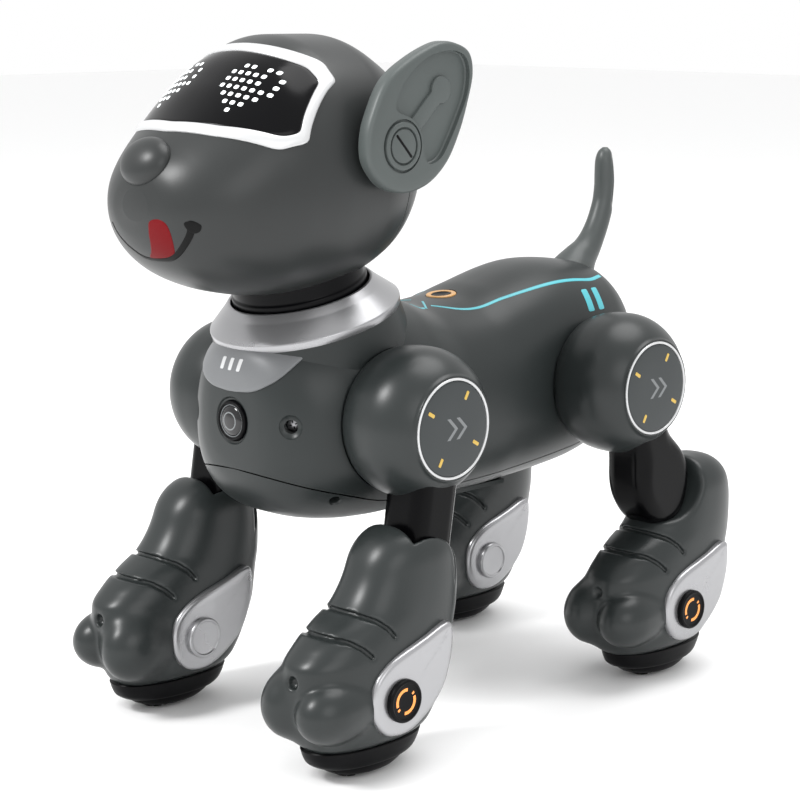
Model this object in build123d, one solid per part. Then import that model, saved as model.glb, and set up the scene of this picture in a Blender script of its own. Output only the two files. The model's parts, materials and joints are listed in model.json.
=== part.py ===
from build123d import *
import math
import os

# Walking robot dog toy. Millimetres, +Z up, the dog faces -Y, its left side is +X.
# The model is laid out about the middle of the wheel base; add() then moves each
# sub-part so that the origin is on the ground under the middle of the whole toy.

# ---------------------------------------------------------------- driving dimensions
TO_ORIGIN_Y = 1.0

WALL = 2.4                  # moulded shell wall
GAP = 0.3                   # clearance between fixed mouldings
RUN_GAP = 1.0               # clearance between moving mouldings
FIT_GAP = 0.05              # radial clearance of a shaft in its bore

WHEEL_BASE = 190.0
LEG_X = 62.5                # middle of a leg, from the middle plane
WHEEL_RADIUS = 20.0
WHEEL_WIDTH = 12.0
AXLE_RADIUS = 2.0

HIP_Z = 139.2
HIP_Y = {"front": -49.3, "rear": 82.6}
CUP_RADIUS = 32.0
CUP_INNER_X = 42.0          # flat inner face of a hip cup
CUP_WIDEST_X = 58.0
CUP_BULGE = 26.0            # half width of the cup's elliptical profile along X
CUP_FACE_X = 77.5           # flat outer face of a hip cup
DISC_RADIUS = 20.4
DISC_THICKNESS = 1.6
HIP_SHAFT_RADIUS = 5.0
HIP_SHAFT_END_X = 24.0
WELL_RADIUS = CUP_RADIUS + 1.5

KNEE_Z = 84.0
KNEE_Y = {"front": -57.0, "rear": 100.0}
KNEE_TRAVEL = 12.0          # degrees each way
THIGH_RADIUS = 13.0         # rounded knee end of the thigh
THIGH_HALF_WIDTH = 12.0
KNEE_PIN_RADIUS = 3.0
KNEE_PIN_LENGTH = 3.4

PAW_TOP_Z = 101.0
PAW_BOTTOM_Z = 13.0
HUB_FROM_AXLE = 11.7        # ankle hub, behind the wheel axle
HUB_Z = 32.0
HUB_RADIUS = 9.0
FAIRING_FACE = 22.3         # outer face of a fairing, from the middle of the leg
HUB_FACE = 24.3

NECK_TILT = 15.0            # the neck leans forward
NECK_BASE = (0.0, -60.0, 181.0)
NECK_RADIUS = 27.6
COLLAR_HOLE_RADIUS = 28.7
COLLAR_RADIUS = 41.0
COLLAR_HEIGHT = 8.5

HEAD_SEAM_Y = -42.0
VISOR_TILT = 30.0           # the visor looks up by this angle
VISOR_FRAME_WIDTH = 3.6

EAR_PIVOT = (-62.0, 254.0)  # Y and Z of the ear's turning axis
EAR_INNER_X = 54.0
EAR_THICKNESS = 7.0
EAR_HUB_RADIUS = 8.0
EAR_SHAFT_RADIUS = 2.5

SEAM_Z = 107.0              # between trunk shell and belly pan
DOOR_MIDDLE_Y = 15.0
DOOR_SIZE = (40.0, 60.0, 2.0)
DOOR_BOTTOM_Z = 92.4

BUTTON_Y = 23.6
BUTTON_RADIUS = 6.5
BUTTON_TOP_Z = 182.5

TAIL_PIVOT = (0.0, 114.0, 184.0)
TAIL_TILT = 25.0            # the wagging axis leans back
TAIL_PIN_RADIUS = 4.5
TAIL_SEAT_HEIGHT = 3.0      # top of the raised seat, above the pivot point

# Trunk stations: y, low z, high z, half width, squareness
TRUNK = [
    (-101, 126, 160, 14, 2.3),
    (-97.5, 112, 169, 31, 2.5),
    (-88, 103, 174, 41, 2.6),
    (-70, 96, 180, 46, 2.6),
    (-40, 93.5, 187, 46, 2.5),
    (-20, 93.5, 186, 44, 2.4),
    (2, 93.5, 178, 43, 2.4),
    (40, 95, 184, 42, 2.4),
    (80, 100, 192, 42, 2.3),
    (108, 106, 189, 38, 2.3),
    (124, 116, 180, 28, 2.2),
    (134, 132, 166, 12, 2.1),
]

# Head stations, from the muzzle back
HEAD = [
    (-150, 224, 238, 7, 2.0),
    (-147, 212, 246, 19, 2.0),
    (-140, 203, 254, 29, 2.1),
    (-128, 197, 264, 38, 2.1),
    (-114, 193, 278, 44, 2.2),
    (-98, 191, 290, 48, 2.2),
    (-78, 191, 297, 50, 2.2),
    (-58, 194, 297, 50, 2.2),
    (-40, 200, 290, 46, 2.1),
    (-25, 211, 277, 36, 2.1),
    (-15, 228, 258, 14, 2.0),
]

# Paw stations, from the sole up: z, front and back from the axle, half width, squareness
PAW = [
    (PAW_BOTTOM_Z, -24, 34, 14, 2.3),
    (20, -30, 40, 18, 2.4),
    (32, -32, 46, 19.5, 2.4),
    (44, -28, 50, 19.5, 2.4),
    (56, -16, 52, 19.2, 2.4),
    (68, -5, 53, 18.8, 2.3),
    (80, 2, 52, 18.4, 2.3),
    (90, 6, 50, 17.5, 2.3),
    (98, 12, 44, 14, 2.2),
    (PAW_TOP_Z, 18, 38, 9, 2.0),
]
TOE_OFFSET = 11.5
TOE_FROM_AXLE = -21.0
TOE_Z = 30.5
TOE_RADII = (12.8, 16.0, 13.5)

# Sole stations, from the ground up, in the same form as the paw's
SOLE = [
    (2.5, -8, 16, 9, 2.2),
    (6, -17, 24, 12.5, 2.3),
    (10, -21, 30, 14, 2.3),
    (PAW_BOTTOM_Z, -22, 32, 14, 2.3),
]

# ---------------------------------------------------------------- helpers
nodes = {}


def add(name, shape):
    """Keep one named sub-part, moved from the wheel-base frame to the origin."""
    nodes[name] = Pos(0, TO_ORIGIN_Y, 0) * shape


def signed_power(value, power):
    return math.copysign(abs(value) ** power, value)


def oval(plane, half_width, half_height, squareness, start=0.0, count=12):
    """A superellipse wire: squareness 2 is an ellipse, more is boxier.

    The wire's seam lies at the start angle.
    """
    points = []
    for step in range(count):
        angle = math.radians(start) + 2 * math.pi * step / count
        across = half_width * signed_power(math.cos(angle), 2 / squareness)
        along = half_height * signed_power(math.sin(angle), 2 / squareness)
        points.append(plane.from_local_coords((across, along, 0)))
    return Wire(Spline(*points, periodic=True))


def loft_along_y(stations):
    wires = []
    for y, low, high, half_width, squareness in stations:
        plane = Plane(origin=(0, y, (low + high) / 2), x_dir=(1, 0, 0), z_dir=(0, 1, 0))
        wires.append(oval(plane, half_width, (high - low) / 2, squareness))
    return Solid.make_loft(wires)


def loft_along_z(stations, middle_x, axle_y, seam_angle):
    wires = []
    for z, front, back, half_width, squareness in stations:
        plane = Plane(origin=(middle_x, axle_y + (front + back) / 2, z))
        wires.append(oval(plane, half_width, (back - front) / 2, squareness, seam_angle))
    return Solid.make_loft(wires)


def shrunk(stations, wall):
    """The same stations one wall smaller all round, without the two end caps."""
    return [
        (place, low + wall, high - wall, half_width - wall, squareness)
        for place, low, high, half_width, squareness in stations[1:-1]
    ]


def grown(stations, extra):
    """The same stations with everything moved outwards."""
    first, last = stations[0], stations[-1]
    moved = [(first[0] - extra,) + first[1:]] + stations[1:-1] + [(last[0] + extra,) + last[1:]]
    return [
        (place, low - extra, high + extra, half_width + extra, squareness)
        for place, low, high, half_width, squareness in moved
    ]


def disc_x(x_low, x_high, radius, y, z, hole=0.0):
    """Cylinder or ring with its axis along X."""
    length = x_high - x_low
    body = Cylinder(radius, length)
    if hole:
        body -= Cylinder(hole, length)
    return Pos((x_low + x_high) / 2, y, z) * Rot(0, 90, 0) * body


def block(x_size, y_size, z_size, x, y, z):
    """Box by its size and middle point."""
    return Pos(x, y, z) * Box(x_size, y_size, z_size)


def mirror_x(shape):
    return mirror(shape, about=Plane.YZ)


def ellipsoid(radii, middle):
    return Pos(*middle) * scale(Sphere(1.0), by=radii)


def neck_plane(distance):
    """A plane square to the tilted neck axis, this far up from its base."""
    tilt = math.radians(NECK_TILT)
    direction = (0, -math.sin(tilt), math.cos(tilt))
    origin = tuple(base + distance * part for base, part in zip(NECK_BASE, direction))
    return Plane(origin=origin, x_dir=(1, 0, 0), z_dir=direction)


def neck_disc(start, end, radius, hole=0.0):
    """Cylinder or ring about the neck axis."""
    ring = Circle(radius)
    if hole:
        ring -= Circle(hole)
    return extrude(neck_plane(start) * ring, end - start)


def neck_turned(profile):
    """Solid of revolution about the neck axis, from (radius, height) points."""
    outline = make_face(Polyline(*[(radius, 0, height) for radius, height in profile], close=True))
    turned = revolve(outline, Axis.Z)
    return neck_plane(0).location * turned


def hip_places():
    for end in ("front", "rear"):
        for side in ("left", "right"):
            yield end, side, HIP_Y[end]


def on_side(shape, side):
    """Shapes are made for the left side; the right one is a mirror image."""
    return shape if side == "left" else mirror_x(shape)


# ---------------------------------------------------------------- trunk
def make_trunk():
    outer = loft_along_y(TRUNK)
    shell = outer - loft_along_y(shrunk(TRUNK, WALL))
    well_face = CUP_INNER_X - RUN_GAP
    for end, side, y in hip_places():
        well = disc_x(well_face, 90, WELL_RADIUS, y, HIP_Z)
        floor = disc_x(well_face - WALL, well_face, WELL_RADIUS + WALL, y, HIP_Z)
        hole = disc_x(20, 90, HIP_SHAFT_RADIUS + RUN_GAP, y, HIP_Z)
        shell = shell - on_side(well, side) + (on_side(floor, side) & outer) - on_side(hole, side)
    shell -= neck_disc(-1, 40, COLLAR_RADIUS + GAP)
    shell -= neck_disc(-30, 0, COLLAR_HOLE_RADIUS + 5)
    return outer, shell


trunk_solid, trunk_all = make_trunk()

LENS_PLACE = (0, -100, 139)
LENS_RADIUS = 7.2
BEZEL_WALL = 1.6
lens_axis = Pos(*LENS_PLACE) * Rot(90, 0, 0)
lens_hole = lens_axis * Cylinder(LENS_RADIUS + BEZEL_WALL + GAP, 20)
screw_holes = []
for x in (-29.0, 29.0):
    screw_holes.append(Pos(x, -96, 140) * Rot(90, 0, 0) * Cylinder(3.0, 8))
button_hole = Pos(0, BUTTON_Y, 180) * Cylinder(BUTTON_RADIUS + GAP, 16)
tail_axis = Plane(
    origin=TAIL_PIVOT,
    x_dir=(1, 0, 0),
    z_dir=(0, math.sin(math.radians(TAIL_TILT)), math.cos(math.radians(TAIL_TILT))),
)
tail_hole = tail_axis.location * Cylinder(TAIL_PIN_RADIUS + RUN_GAP, 30)

SCREW_PLACES = [(-20, -76), (20, -76), (-20, 58), (20, 58)]
BOSS_RADIUS = 3.6
FRONT_BOSS_TOP_Z = 135      # the front bosses end below the collar, on a rib to the chest
SCREW_RADIUS = 1.5
SCREW_HEAD_Z = 102.5
trunk_all -= lens_hole
trunk_all -= button_hole
trunk_all -= tail_hole
for hole in screw_holes:
    trunk_all -= hole

upper = block(200, 400, 200, 0, 0, SEAM_Z + GAP / 2 + 100)
lower = block(200, 400, 200, 0, 0, SEAM_Z - GAP / 2 - 100)
trunk_upper = trunk_all & upper
for x, y in SCREW_PLACES:
    boss_top = FRONT_BOSS_TOP_Z if y < 0 else 200
    boss = Pos(x, y, boss_top - 50) * Cylinder(BOSS_RADIUS, 100)
    if y < 0:
        boss += block(WALL, 30, boss_top - SEAM_Z, x, y - 15, (boss_top + SEAM_Z) / 2)
    boss = boss & trunk_solid & upper
    trunk_upper += boss - Pos(x, y, 100) * Cylinder(SCREW_RADIUS, 40)
seat = tail_axis.location * Pos(0, 0, TAIL_SEAT_HEIGHT - 5) * Cylinder(11.5, 10)
trunk_upper += seat - tail_hole
add("trunk_shell", trunk_upper)

# Belly pan, with a flat frame round the battery door
belly = trunk_all & lower
door_x, door_y, door_z = DOOR_SIZE
frame_low = DOOR_BOTTOM_Z + 0.4
belly += block(door_x + 8, door_y + 8, 6, 0, DOOR_MIDDLE_Y, frame_low + 3)
belly -= block(door_x - 6, door_y - 6, 20, 0, DOOR_MIDDLE_Y, frame_low + 3)
belly -= block(door_x + 2 * GAP, door_y + 2 * GAP, 2 * door_z, 0, DOOR_MIDDLE_Y, DOOR_BOTTOM_Z)
SWITCH_PLACE = (-8, 66)
SOCKET_PLACE = (10, 66)
belly -= block(6.4, 12.4, 20, *SWITCH_PLACE, 100)
belly -= Pos(*SOCKET_PLACE, 100) * Cylinder(4.2, 20)
for x, y in SCREW_PLACES:
    belly -= Pos(x, y, 100) * Cylinder(SCREW_RADIUS + 0.2, 30)
    belly -= Pos(x, y, SCREW_HEAD_Z - 5) * Cylinder(3.0, 10)
add("belly_shell", belly)

# Collar, a tapered ring with a skirt that locates it in the trunk
collar = neck_turned([
    (COLLAR_HOLE_RADIUS, 0),
    (COLLAR_RADIUS, 0),
    (COLLAR_RADIUS, 1.5),
    (36.5, COLLAR_HEIGHT),
    (COLLAR_HOLE_RADIUS, COLLAR_HEIGHT),
])
skirt = neck_disc(-6, 0, COLLAR_HOLE_RADIUS + 4, COLLAR_HOLE_RADIUS)
add("collar_ring", collar + skirt)

# Chest badge, a curved shield below the collar
badge_outline = make_face(Polyline(
    (-25, -70, 180), (25, -70, 180), (25, -70, 164), (16, -70, 154.5), (0, -70, 152),
    (-16, -70, 154.5), (-25, -70, 164), close=True,
))
badge = extrude(badge_outline, 50, dir=(0, -1, 0))
badge = badge & (loft_along_y(grown(TRUNK, 1.0)) - trunk_solid)
badge -= neck_disc(-8, 60, COLLAR_RADIUS + GAP)
add("chest_badge", badge.solids().sort_by(SortBy.VOLUME)[-1])

# Chest lens in its bezel
bezel = lens_axis * (Cylinder(LENS_RADIUS + BEZEL_WALL, 6) - Cylinder(LENS_RADIUS, 6))
add("lens_bezel", bezel)
add("chest_lens", lens_axis * Cylinder(LENS_RADIUS - 0.1, 5))

# Battery, its door, the electronics, and the screws of the belly pan
add("battery_door", block(door_x, door_y, door_z, 0, DOOR_MIDDLE_Y, DOOR_BOTTOM_Z + door_z / 2))
add("battery_pack", fillet(block(32, 50, 19, 0, DOOR_MIDDLE_Y, 107).edges().filter_by(Axis.Y), 7))
board = block(30, 84, 1.6, 0, 32, 130)
board += block(14, 14, 2.4, -6, 22, 131)
board += block(9, 20, 6, 9, 50, 133.5)
add("control_board", board)
speaker = Pos(0, 90, 114) * (Cylinder(14, 5) + Pos(0, 0, 5) * Cylinder(7, 6))
add("speaker", speaker)
socket = Pos(*SOCKET_PLACE, 0) * (Pos(0, 0, 104.5) * Cylinder(4.0, 13) - Pos(0, 0, 100) * Cylinder(1.8, 12))
add("charge_socket", socket)
screws = []
for x, y in SCREW_PLACES:
    shank = Pos(x, y, SCREW_HEAD_Z + 7) * Cylinder(SCREW_RADIUS, 14)
    cap = Pos(x, y, SCREW_HEAD_Z - 0.8) * Cylinder(2.8, 1.6)
    screws.append(shank + cap)
add("body_screws", Compound(screws))
gearboxes = []
for end, side, y in hip_places():
    box = block(13, 24, 26, 27.0, y, HIP_Z)
    box -= disc_x(20, 40, HIP_SHAFT_RADIUS + FIT_GAP, y, HIP_Z)
    gearboxes.append(on_side(box, side))
add("leg_gearboxes", Compound(gearboxes))
NECK_SHAFT_RADIUS = 4.0
neck_motor = neck_disc(-30, -6, 14) + neck_disc(-6, 8, NECK_SHAFT_RADIUS)
add("neck_motor", neck_motor)

# Power switch slider in the belly, and the push button on the back
switch_x, switch_y = SWITCH_PLACE
slider = block(6, 8, 6.5, switch_x, switch_y - 2, 100.75)
slider += block(9, 12, 1.6, switch_x, switch_y - 2, 104.4)
add("power_switch", slider)
button = Pos(0, BUTTON_Y, BUTTON_TOP_Z - 3) * Cylinder(BUTTON_RADIUS - 0.1, 6)
button += Pos(0, BUTTON_Y, BUTTON_TOP_Z - 7.2) * Cylinder(2.5, 4)
add("back_button", button)

# ---------------------------------------------------------------- head
head_solid = loft_along_y(HEAD)
head_inner = loft_along_y(shrunk(HEAD, WALL))
tilt = math.radians(VISOR_TILT)
visor_plane = Plane(origin=(0, 0, 0), x_dir=(1, 0, 0), z_dir=(0, -math.cos(tilt), math.sin(tilt)))


def visor_window(margin):
    """Prism through the visor's outline, this much smaller all round."""
    right_side = [(0, 160), (26, 160), (42, 165), (46, 172), (43, 195), (36, 205), (24, 210.5), (0, 211.5)]
    left_side = [(-x, height) for x, height in reversed(right_side[1:-1])]
    outline = make_face(Polyline(*(right_side + left_side), close=True))
    if margin:
        outline = offset(outline, -margin)
    return extrude(visor_plane.offset(165) * outline, 100)


visor_blank = loft_along_y(grown(HEAD, 0.8)) - loft_along_y(shrunk(HEAD, WALL + 0.2))
front_half = block(200, 200, 200, 0, HEAD_SEAM_Y - GAP / 2 - 100, 245)
rear_half = block(200, 200, 200, 0, HEAD_SEAM_Y + GAP / 2 + 100, 245)
window = visor_window(0)
add("visor_frame", visor_blank & (visor_window(0.15) - visor_window(VISOR_FRAME_WIDTH)) & front_half)
add("visor_lens", visor_blank & visor_window(VISOR_FRAME_WIDTH + 0.15) & front_half)

head_shell = head_solid - head_inner - neck_disc(-10, 40, NECK_RADIUS + 0.2)
for sign in (-1, 1):
    ear_hole = disc_x(30, 70, EAR_SHAFT_RADIUS + 0.7, *EAR_PIVOT)
    head_shell -= ear_hole if sign > 0 else mirror_x(ear_hole)
add("head_shell", (head_shell & front_half) - window)
add("head_back_shell", head_shell & rear_half)
add("nose", (ellipsoid((11, 8, 8.5), (0, -141.5, 250.5)) - head_solid).solids().sort_by(SortBy.VOLUME)[-1])
led_board = block(64, 1.6, 30, 0, -92, 262)
for sign in (-1, 1):
    led_board += block(22, 2, 20, 20 * sign, -93.6, 262)
add("led_board", led_board)
neck_tube = neck_disc(3, 24, NECK_RADIUS, NECK_RADIUS - WALL)
neck_tube += neck_disc(3, 6, NECK_RADIUS, NECK_SHAFT_RADIUS + FIT_GAP)
add("neck_tube", neck_tube)


def ear_leaf(size):
    """The ear's outline in Y and Z, scaled about its middle."""
    middle_y, middle_z = -50, 265
    points = [
        (-28, 293.5), (-50, 288), (-68, 276), (-80, 262), (-78, 246), (-64, 236),
        (-46, 240), (-31, 252), (-20.5, 270), (-20, 284),
    ]
    scaled = [
        (middle_y + size * (y - middle_y), middle_z + size * (z - middle_z)) for y, z in points
    ]
    return make_face(Spline(*scaled, periodic=True))


def make_ear():
    """Leaf-shaped ear with a raised rim and a bone-shaped relief."""
    plane = Plane(origin=(EAR_INNER_X, 0, 0), x_dir=(0, 1, 0), z_dir=(1, 0, 0))
    ear = extrude(plane * ear_leaf(1.0), EAR_THICKNESS)
    recess_plane = plane.offset(EAR_THICKNESS - 1.6)
    ear -= extrude(recess_plane * ear_leaf(0.86), 5)
    bone = Pos(-45, 268, 0) * Rot(0, 0, 48) * (
        RectangleRounded(30, 6, 2.9)
        + Pos(15, 3.2, 0) * Circle(4) + Pos(15, -3.2, 0) * Circle(4)
    )
    ear += extrude(recess_plane * bone, 0.9)
    ear += disc_x(EAR_INNER_X + 2, EAR_INNER_X + EAR_THICKNESS + 0.6, EAR_HUB_RADIUS + 2.4, *EAR_PIVOT)
    ear -= disc_x(EAR_INNER_X + 4, EAR_INNER_X + 20, EAR_HUB_RADIUS + 0.1, *EAR_PIVOT)
    ear += disc_x(50.8, EAR_INNER_X + 1, EAR_HUB_RADIUS, *EAR_PIVOT)
    ear += disc_x(38, 52, EAR_SHAFT_RADIUS, *EAR_PIVOT)
    hub = disc_x(EAR_INNER_X + 4, EAR_INNER_X + EAR_THICKNESS + 0.2, EAR_HUB_RADIUS, *EAR_PIVOT)
    hub_y, hub_z = EAR_PIVOT
    hub -= block(2, 10, 2, EAR_INNER_X + EAR_THICKNESS + 0.4, hub_y, hub_z)
    return ear, hub


ear, ear_hub = make_ear()
for side in ("left", "right"):
    add(f"{side}_ear", on_side(ear, side))
    add(f"{side}_ear_hub", on_side(ear_hub, side))

# ---------------------------------------------------------------- tail
# Tail stations: y, z, forward lean of the section's normal, half width, half depth
TAIL = [
    (115.7, 187.6, 25, 10.5, 10.5),
    (118.5, 193, 28, 8.0, 9.0),
    (126, 204.5, 31, 5.8, 7.2),
    (133, 219, 20, 4.6, 6.5),
    (138, 233, 14, 4.2, 5.6),
    (140, 240, 8, 2.4, 2.8),
]
tail_wires = []
for y, z, lean, half_width, half_depth in TAIL:
    lean_angle = math.radians(lean)
    section = Plane(
        origin=(0, y, z), x_dir=(1, 0, 0), z_dir=(0, math.sin(lean_angle), math.cos(lean_angle)),
    )
    tail_wires.append(oval(section, half_width, half_depth, 2))
tail = Solid.make_loft(tail_wires)
tail += tail_axis.location * Pos(0, 0, -3) * Cylinder(TAIL_PIN_RADIUS, 18)
add("tail", tail)


# ---------------------------------------------------------------- legs
def cup_profile(extra=0.0):
    """Half outline of a hip cup as (x, radius) points, grown by extra."""
    points = [(CUP_INNER_X, 0)]
    steps = 7
    for step in range(steps + 1):
        x = CUP_INNER_X + (CUP_FACE_X - CUP_INNER_X) * step / steps
        ratio = (x - CUP_WIDEST_X) / CUP_BULGE
        points.append((x, CUP_RADIUS * math.sqrt(1 - ratio * ratio) + extra))
    return points


def make_cup(y):
    rim = cup_profile()
    curve = Spline(*[(x, radius, 0) for x, radius in rim[1:]])
    inner_edge = Line((CUP_INNER_X, 0, 0), (rim[1][0], rim[1][1], 0))
    outer_edge = Line((rim[-1][0], rim[-1][1], 0), (CUP_FACE_X, 0, 0))
    closing = Line((CUP_FACE_X, 0, 0), (CUP_INNER_X, 0, 0))
    blank = revolve(make_face([inner_edge, curve, outer_edge, closing]), Axis.X)
    return Pos(0, y, HIP_Z) * blank


def make_hip(end):
    """Cup with its shaft, face disc, and thigh, for the left side."""
    hip_y, knee_y = HIP_Y[end], KNEE_Y[end]
    blank = make_cup(hip_y)
    hollow = disc_x(CUP_INNER_X + WALL, CUP_FACE_X - 2 * WALL, 24, hip_y, HIP_Z)
    cup = blank - hollow
    cup -= disc_x(CUP_FACE_X - DISC_THICKNESS, CUP_FACE_X + 5, DISC_RADIUS + 0.1, hip_y, HIP_Z)
    cup += disc_x(HIP_SHAFT_END_X, CUP_INNER_X + 1, HIP_SHAFT_RADIUS, hip_y, HIP_Z)
    disc = disc_x(CUP_FACE_X - DISC_THICKNESS, CUP_FACE_X + 0.2, DISC_RADIUS, hip_y, HIP_Z)
    x_low = LEG_X - THIGH_HALF_WIDTH
    x_high = LEG_X + THIGH_HALF_WIDTH
    knee_round = Pos(knee_y, KNEE_Z) * Circle(THIGH_RADIUS)
    upper_round = Pos(hip_y + (knee_y - hip_y) * 0.45, HIP_Z - 24) * Circle(THIGH_RADIUS + 3)
    side = make_hull(knee_round.edges() + upper_round.edges())
    plane = Plane(origin=(x_low, 0, 0), x_dir=(0, 1, 0), z_dir=(1, 0, 0))
    thigh = extrude(plane * side, x_high - x_low)
    thigh -= blank
    thigh = thigh.solids().sort_by(Axis.Z)[0]
    for x in (x_low - KNEE_PIN_LENGTH, x_high - 1):
        thigh += disc_x(x, x + KNEE_PIN_LENGTH + 1, KNEE_PIN_RADIUS, knee_y, KNEE_Z)
    return cup, disc, thigh


def knee_pocket(knee_y):
    """The space that the thigh sweeps inside the paw."""
    radius = THIGH_RADIUS + RUN_GAP
    height = 40.0
    spread = radius + height * math.tan(math.radians(KNEE_TRAVEL + 4))
    x_low = LEG_X - THIGH_HALF_WIDTH - RUN_GAP
    width = 2 * (THIGH_HALF_WIDTH + RUN_GAP)
    fan = make_face(Polyline(
        (x_low, knee_y - radius, KNEE_Z), (x_low, knee_y + radius, KNEE_Z),
        (x_low, knee_y + spread, KNEE_Z + height), (x_low, knee_y - spread, KNEE_Z + height),
        close=True,
    ))
    return extrude(fan, width, dir=(1, 0, 0)) + disc_x(x_low, x_low + width, radius, knee_y, KNEE_Z)


def make_paw(axle_y, knee_y, seam_angle):
    """Lower leg moulding, its fairings, hub caps, sole and wheel, for the left side."""
    outer = loft_along_z(PAW, LEG_X, axle_y, seam_angle)
    for sign in (-1, 1):
        outer += ellipsoid(TOE_RADII, (LEG_X + sign * TOE_OFFSET, axle_y + TOE_FROM_AXLE, TOE_Z))
    lower_trim = block(80, 200, 20, LEG_X, axle_y, PAW_BOTTOM_Z - 10)
    outer -= lower_trim
    hollow_stations = [
        (z, front + WALL, back - WALL, half_width - WALL, squareness)
        for z, front, back, half_width, squareness in PAW[:5]
    ]
    hollow_stations[0] = (PAW_BOTTOM_Z - 1,) + hollow_stations[0][1:]
    hollow = loft_along_z(hollow_stations, LEG_X, axle_y, seam_angle)
    pin_hole = disc_x(LEG_X - 30, LEG_X + 30, KNEE_PIN_RADIUS + FIT_GAP, knee_y, KNEE_Z)
    pin_room = disc_x(
        LEG_X - THIGH_HALF_WIDTH - KNEE_PIN_LENGTH - 0.5,
        LEG_X + THIGH_HALF_WIDTH + KNEE_PIN_LENGTH + 0.5,
        KNEE_PIN_RADIUS + FIT_GAP, knee_y, KNEE_Z,
    )
    paw = outer - hollow - knee_pocket(knee_y) - pin_room
    paw = paw.solids().sort_by(SortBy.VOLUME)[-1]

    hub_y = axle_y + HUB_FROM_AXLE
    leaf = make_face(Spline(
        (hub_y + 30, 60), (hub_y + 30, 44), (hub_y + 16, 22), (hub_y - 2, 18),
        (hub_y - 13, 30), (hub_y - 4, 46), (hub_y + 14, 56),
        periodic=True,
    ))
    fairings, caps = [], []
    for sign in (-1, 1):
        plane = Plane(origin=(LEG_X, 0, 0), x_dir=(0, 1, 0), z_dir=(1, 0, 0))
        plate = extrude(plane * leaf, sign * FAIRING_FACE) - outer
        plate = plate & block(20, 200, 100, LEG_X + sign * (FAIRING_FACE - 7), hub_y, 40)
        fairings.append(plate.solids().sort_by(SortBy.VOLUME)[-1])
        face_in = LEG_X + sign * FAIRING_FACE
        face_out = LEG_X + sign * HUB_FACE
        caps.append(disc_x(min(face_in, face_out), max(face_in, face_out), HUB_RADIUS, hub_y, HUB_Z))

    sole = loft_along_z(SOLE, LEG_X, axle_y, seam_angle)
    slot = block(WHEEL_WIDTH + 2 * RUN_GAP, 2 * WHEEL_RADIUS + 2 * RUN_GAP, 60, LEG_X, axle_y, 20)
    sole -= slot
    for sign in (-1, 1):
        lug_x = LEG_X + sign * (WHEEL_WIDTH / 2 + RUN_GAP + 1.5)
        sole += block(3, 9, WHEEL_RADIUS - PAW_BOTTOM_Z + 6, lug_x, axle_y, (WHEEL_RADIUS + PAW_BOTTOM_Z + 2) / 2)
    sole -= disc_x(LEG_X - 20, LEG_X + 20, AXLE_RADIUS + FIT_GAP, axle_y, WHEEL_RADIUS)
    sole = sole.solids().sort_by(SortBy.VOLUME)[-1]

    wheel = disc_x(LEG_X - WHEEL_WIDTH / 2, LEG_X + WHEEL_WIDTH / 2, WHEEL_RADIUS, axle_y, WHEEL_RADIUS)
    wheel = chamfer(wheel.edges(), 1.0)
    axle_half = WHEEL_WIDTH / 2 + RUN_GAP + 3.4
    wheel += disc_x(LEG_X - axle_half, LEG_X + axle_half, AXLE_RADIUS, axle_y, WHEEL_RADIUS)
    return paw, Compound(fairings), Compound(caps), sole, wheel


# The seam of each lofted paw stays clear of its knee pocket
for end, axle_y, seam_angle in (("front", -WHEEL_BASE / 2, -50), ("rear", WHEEL_BASE / 2, 130)):
    cup, disc, thigh = make_hip(end)
    paw, fairings, caps, sole, wheel = make_paw(axle_y, KNEE_Y[end], seam_angle)
    for side in ("left", "right"):
        label = f"{end}_{side}"
        add(f"{label}_hip_cup", on_side(cup, side))
        add(f"{label}_hip_disc", on_side(disc, side))
        add(f"{label}_thigh", on_side(thigh, side))
        add(f"{label}_paw_shell", on_side(paw, side))
        add(f"{label}_fairings", on_side(fairings, side))
        add(f"{label}_hub_caps", on_side(caps, side))
        add(f"{label}_sole_plate", on_side(sole, side))
        add(f"{label}_wheel", on_side(wheel, side))

# ---------------------------------------------------------------- write
os.makedirs("parts", exist_ok=True)
for name, shape in nodes.items():
    export_step(shape, f"parts/{name}.step")

box = Compound(list(nodes.values())).bounding_box()
print(f"{len(nodes)} sub-parts, x {box.min.X:.2f} {box.max.X:.2f}, "
      f"y {box.min.Y:.2f} {box.max.Y:.2f}, z {box.min.Z:.2f} {box.max.Z:.2f}")
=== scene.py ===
import json
import math

import bmesh
import bpy
import numpy as np
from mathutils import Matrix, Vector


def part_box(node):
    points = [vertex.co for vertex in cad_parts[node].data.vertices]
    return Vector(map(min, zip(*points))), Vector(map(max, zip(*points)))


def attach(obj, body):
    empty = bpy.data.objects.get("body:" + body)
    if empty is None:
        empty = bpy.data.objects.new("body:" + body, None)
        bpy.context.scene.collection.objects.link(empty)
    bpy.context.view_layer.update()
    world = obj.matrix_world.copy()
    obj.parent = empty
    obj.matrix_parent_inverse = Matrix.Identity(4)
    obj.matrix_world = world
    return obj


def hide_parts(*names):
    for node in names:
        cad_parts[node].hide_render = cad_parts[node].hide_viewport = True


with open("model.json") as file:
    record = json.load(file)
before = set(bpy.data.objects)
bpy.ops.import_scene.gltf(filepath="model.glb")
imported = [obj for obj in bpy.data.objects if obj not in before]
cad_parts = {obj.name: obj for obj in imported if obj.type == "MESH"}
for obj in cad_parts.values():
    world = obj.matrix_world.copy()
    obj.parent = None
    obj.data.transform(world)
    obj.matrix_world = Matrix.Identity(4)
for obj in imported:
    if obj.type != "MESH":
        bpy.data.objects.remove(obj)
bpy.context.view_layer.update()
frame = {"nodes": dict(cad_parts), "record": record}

import openvdb
from mathutils import Vector
from mathutils.bvhtree import BVHTree

# Robot dog toy. Lengths here are millimetres, as on its drawing, and become metres in
# the meshes. The dog faces -Y and its left side is +X.
MM = 0.001


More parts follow.
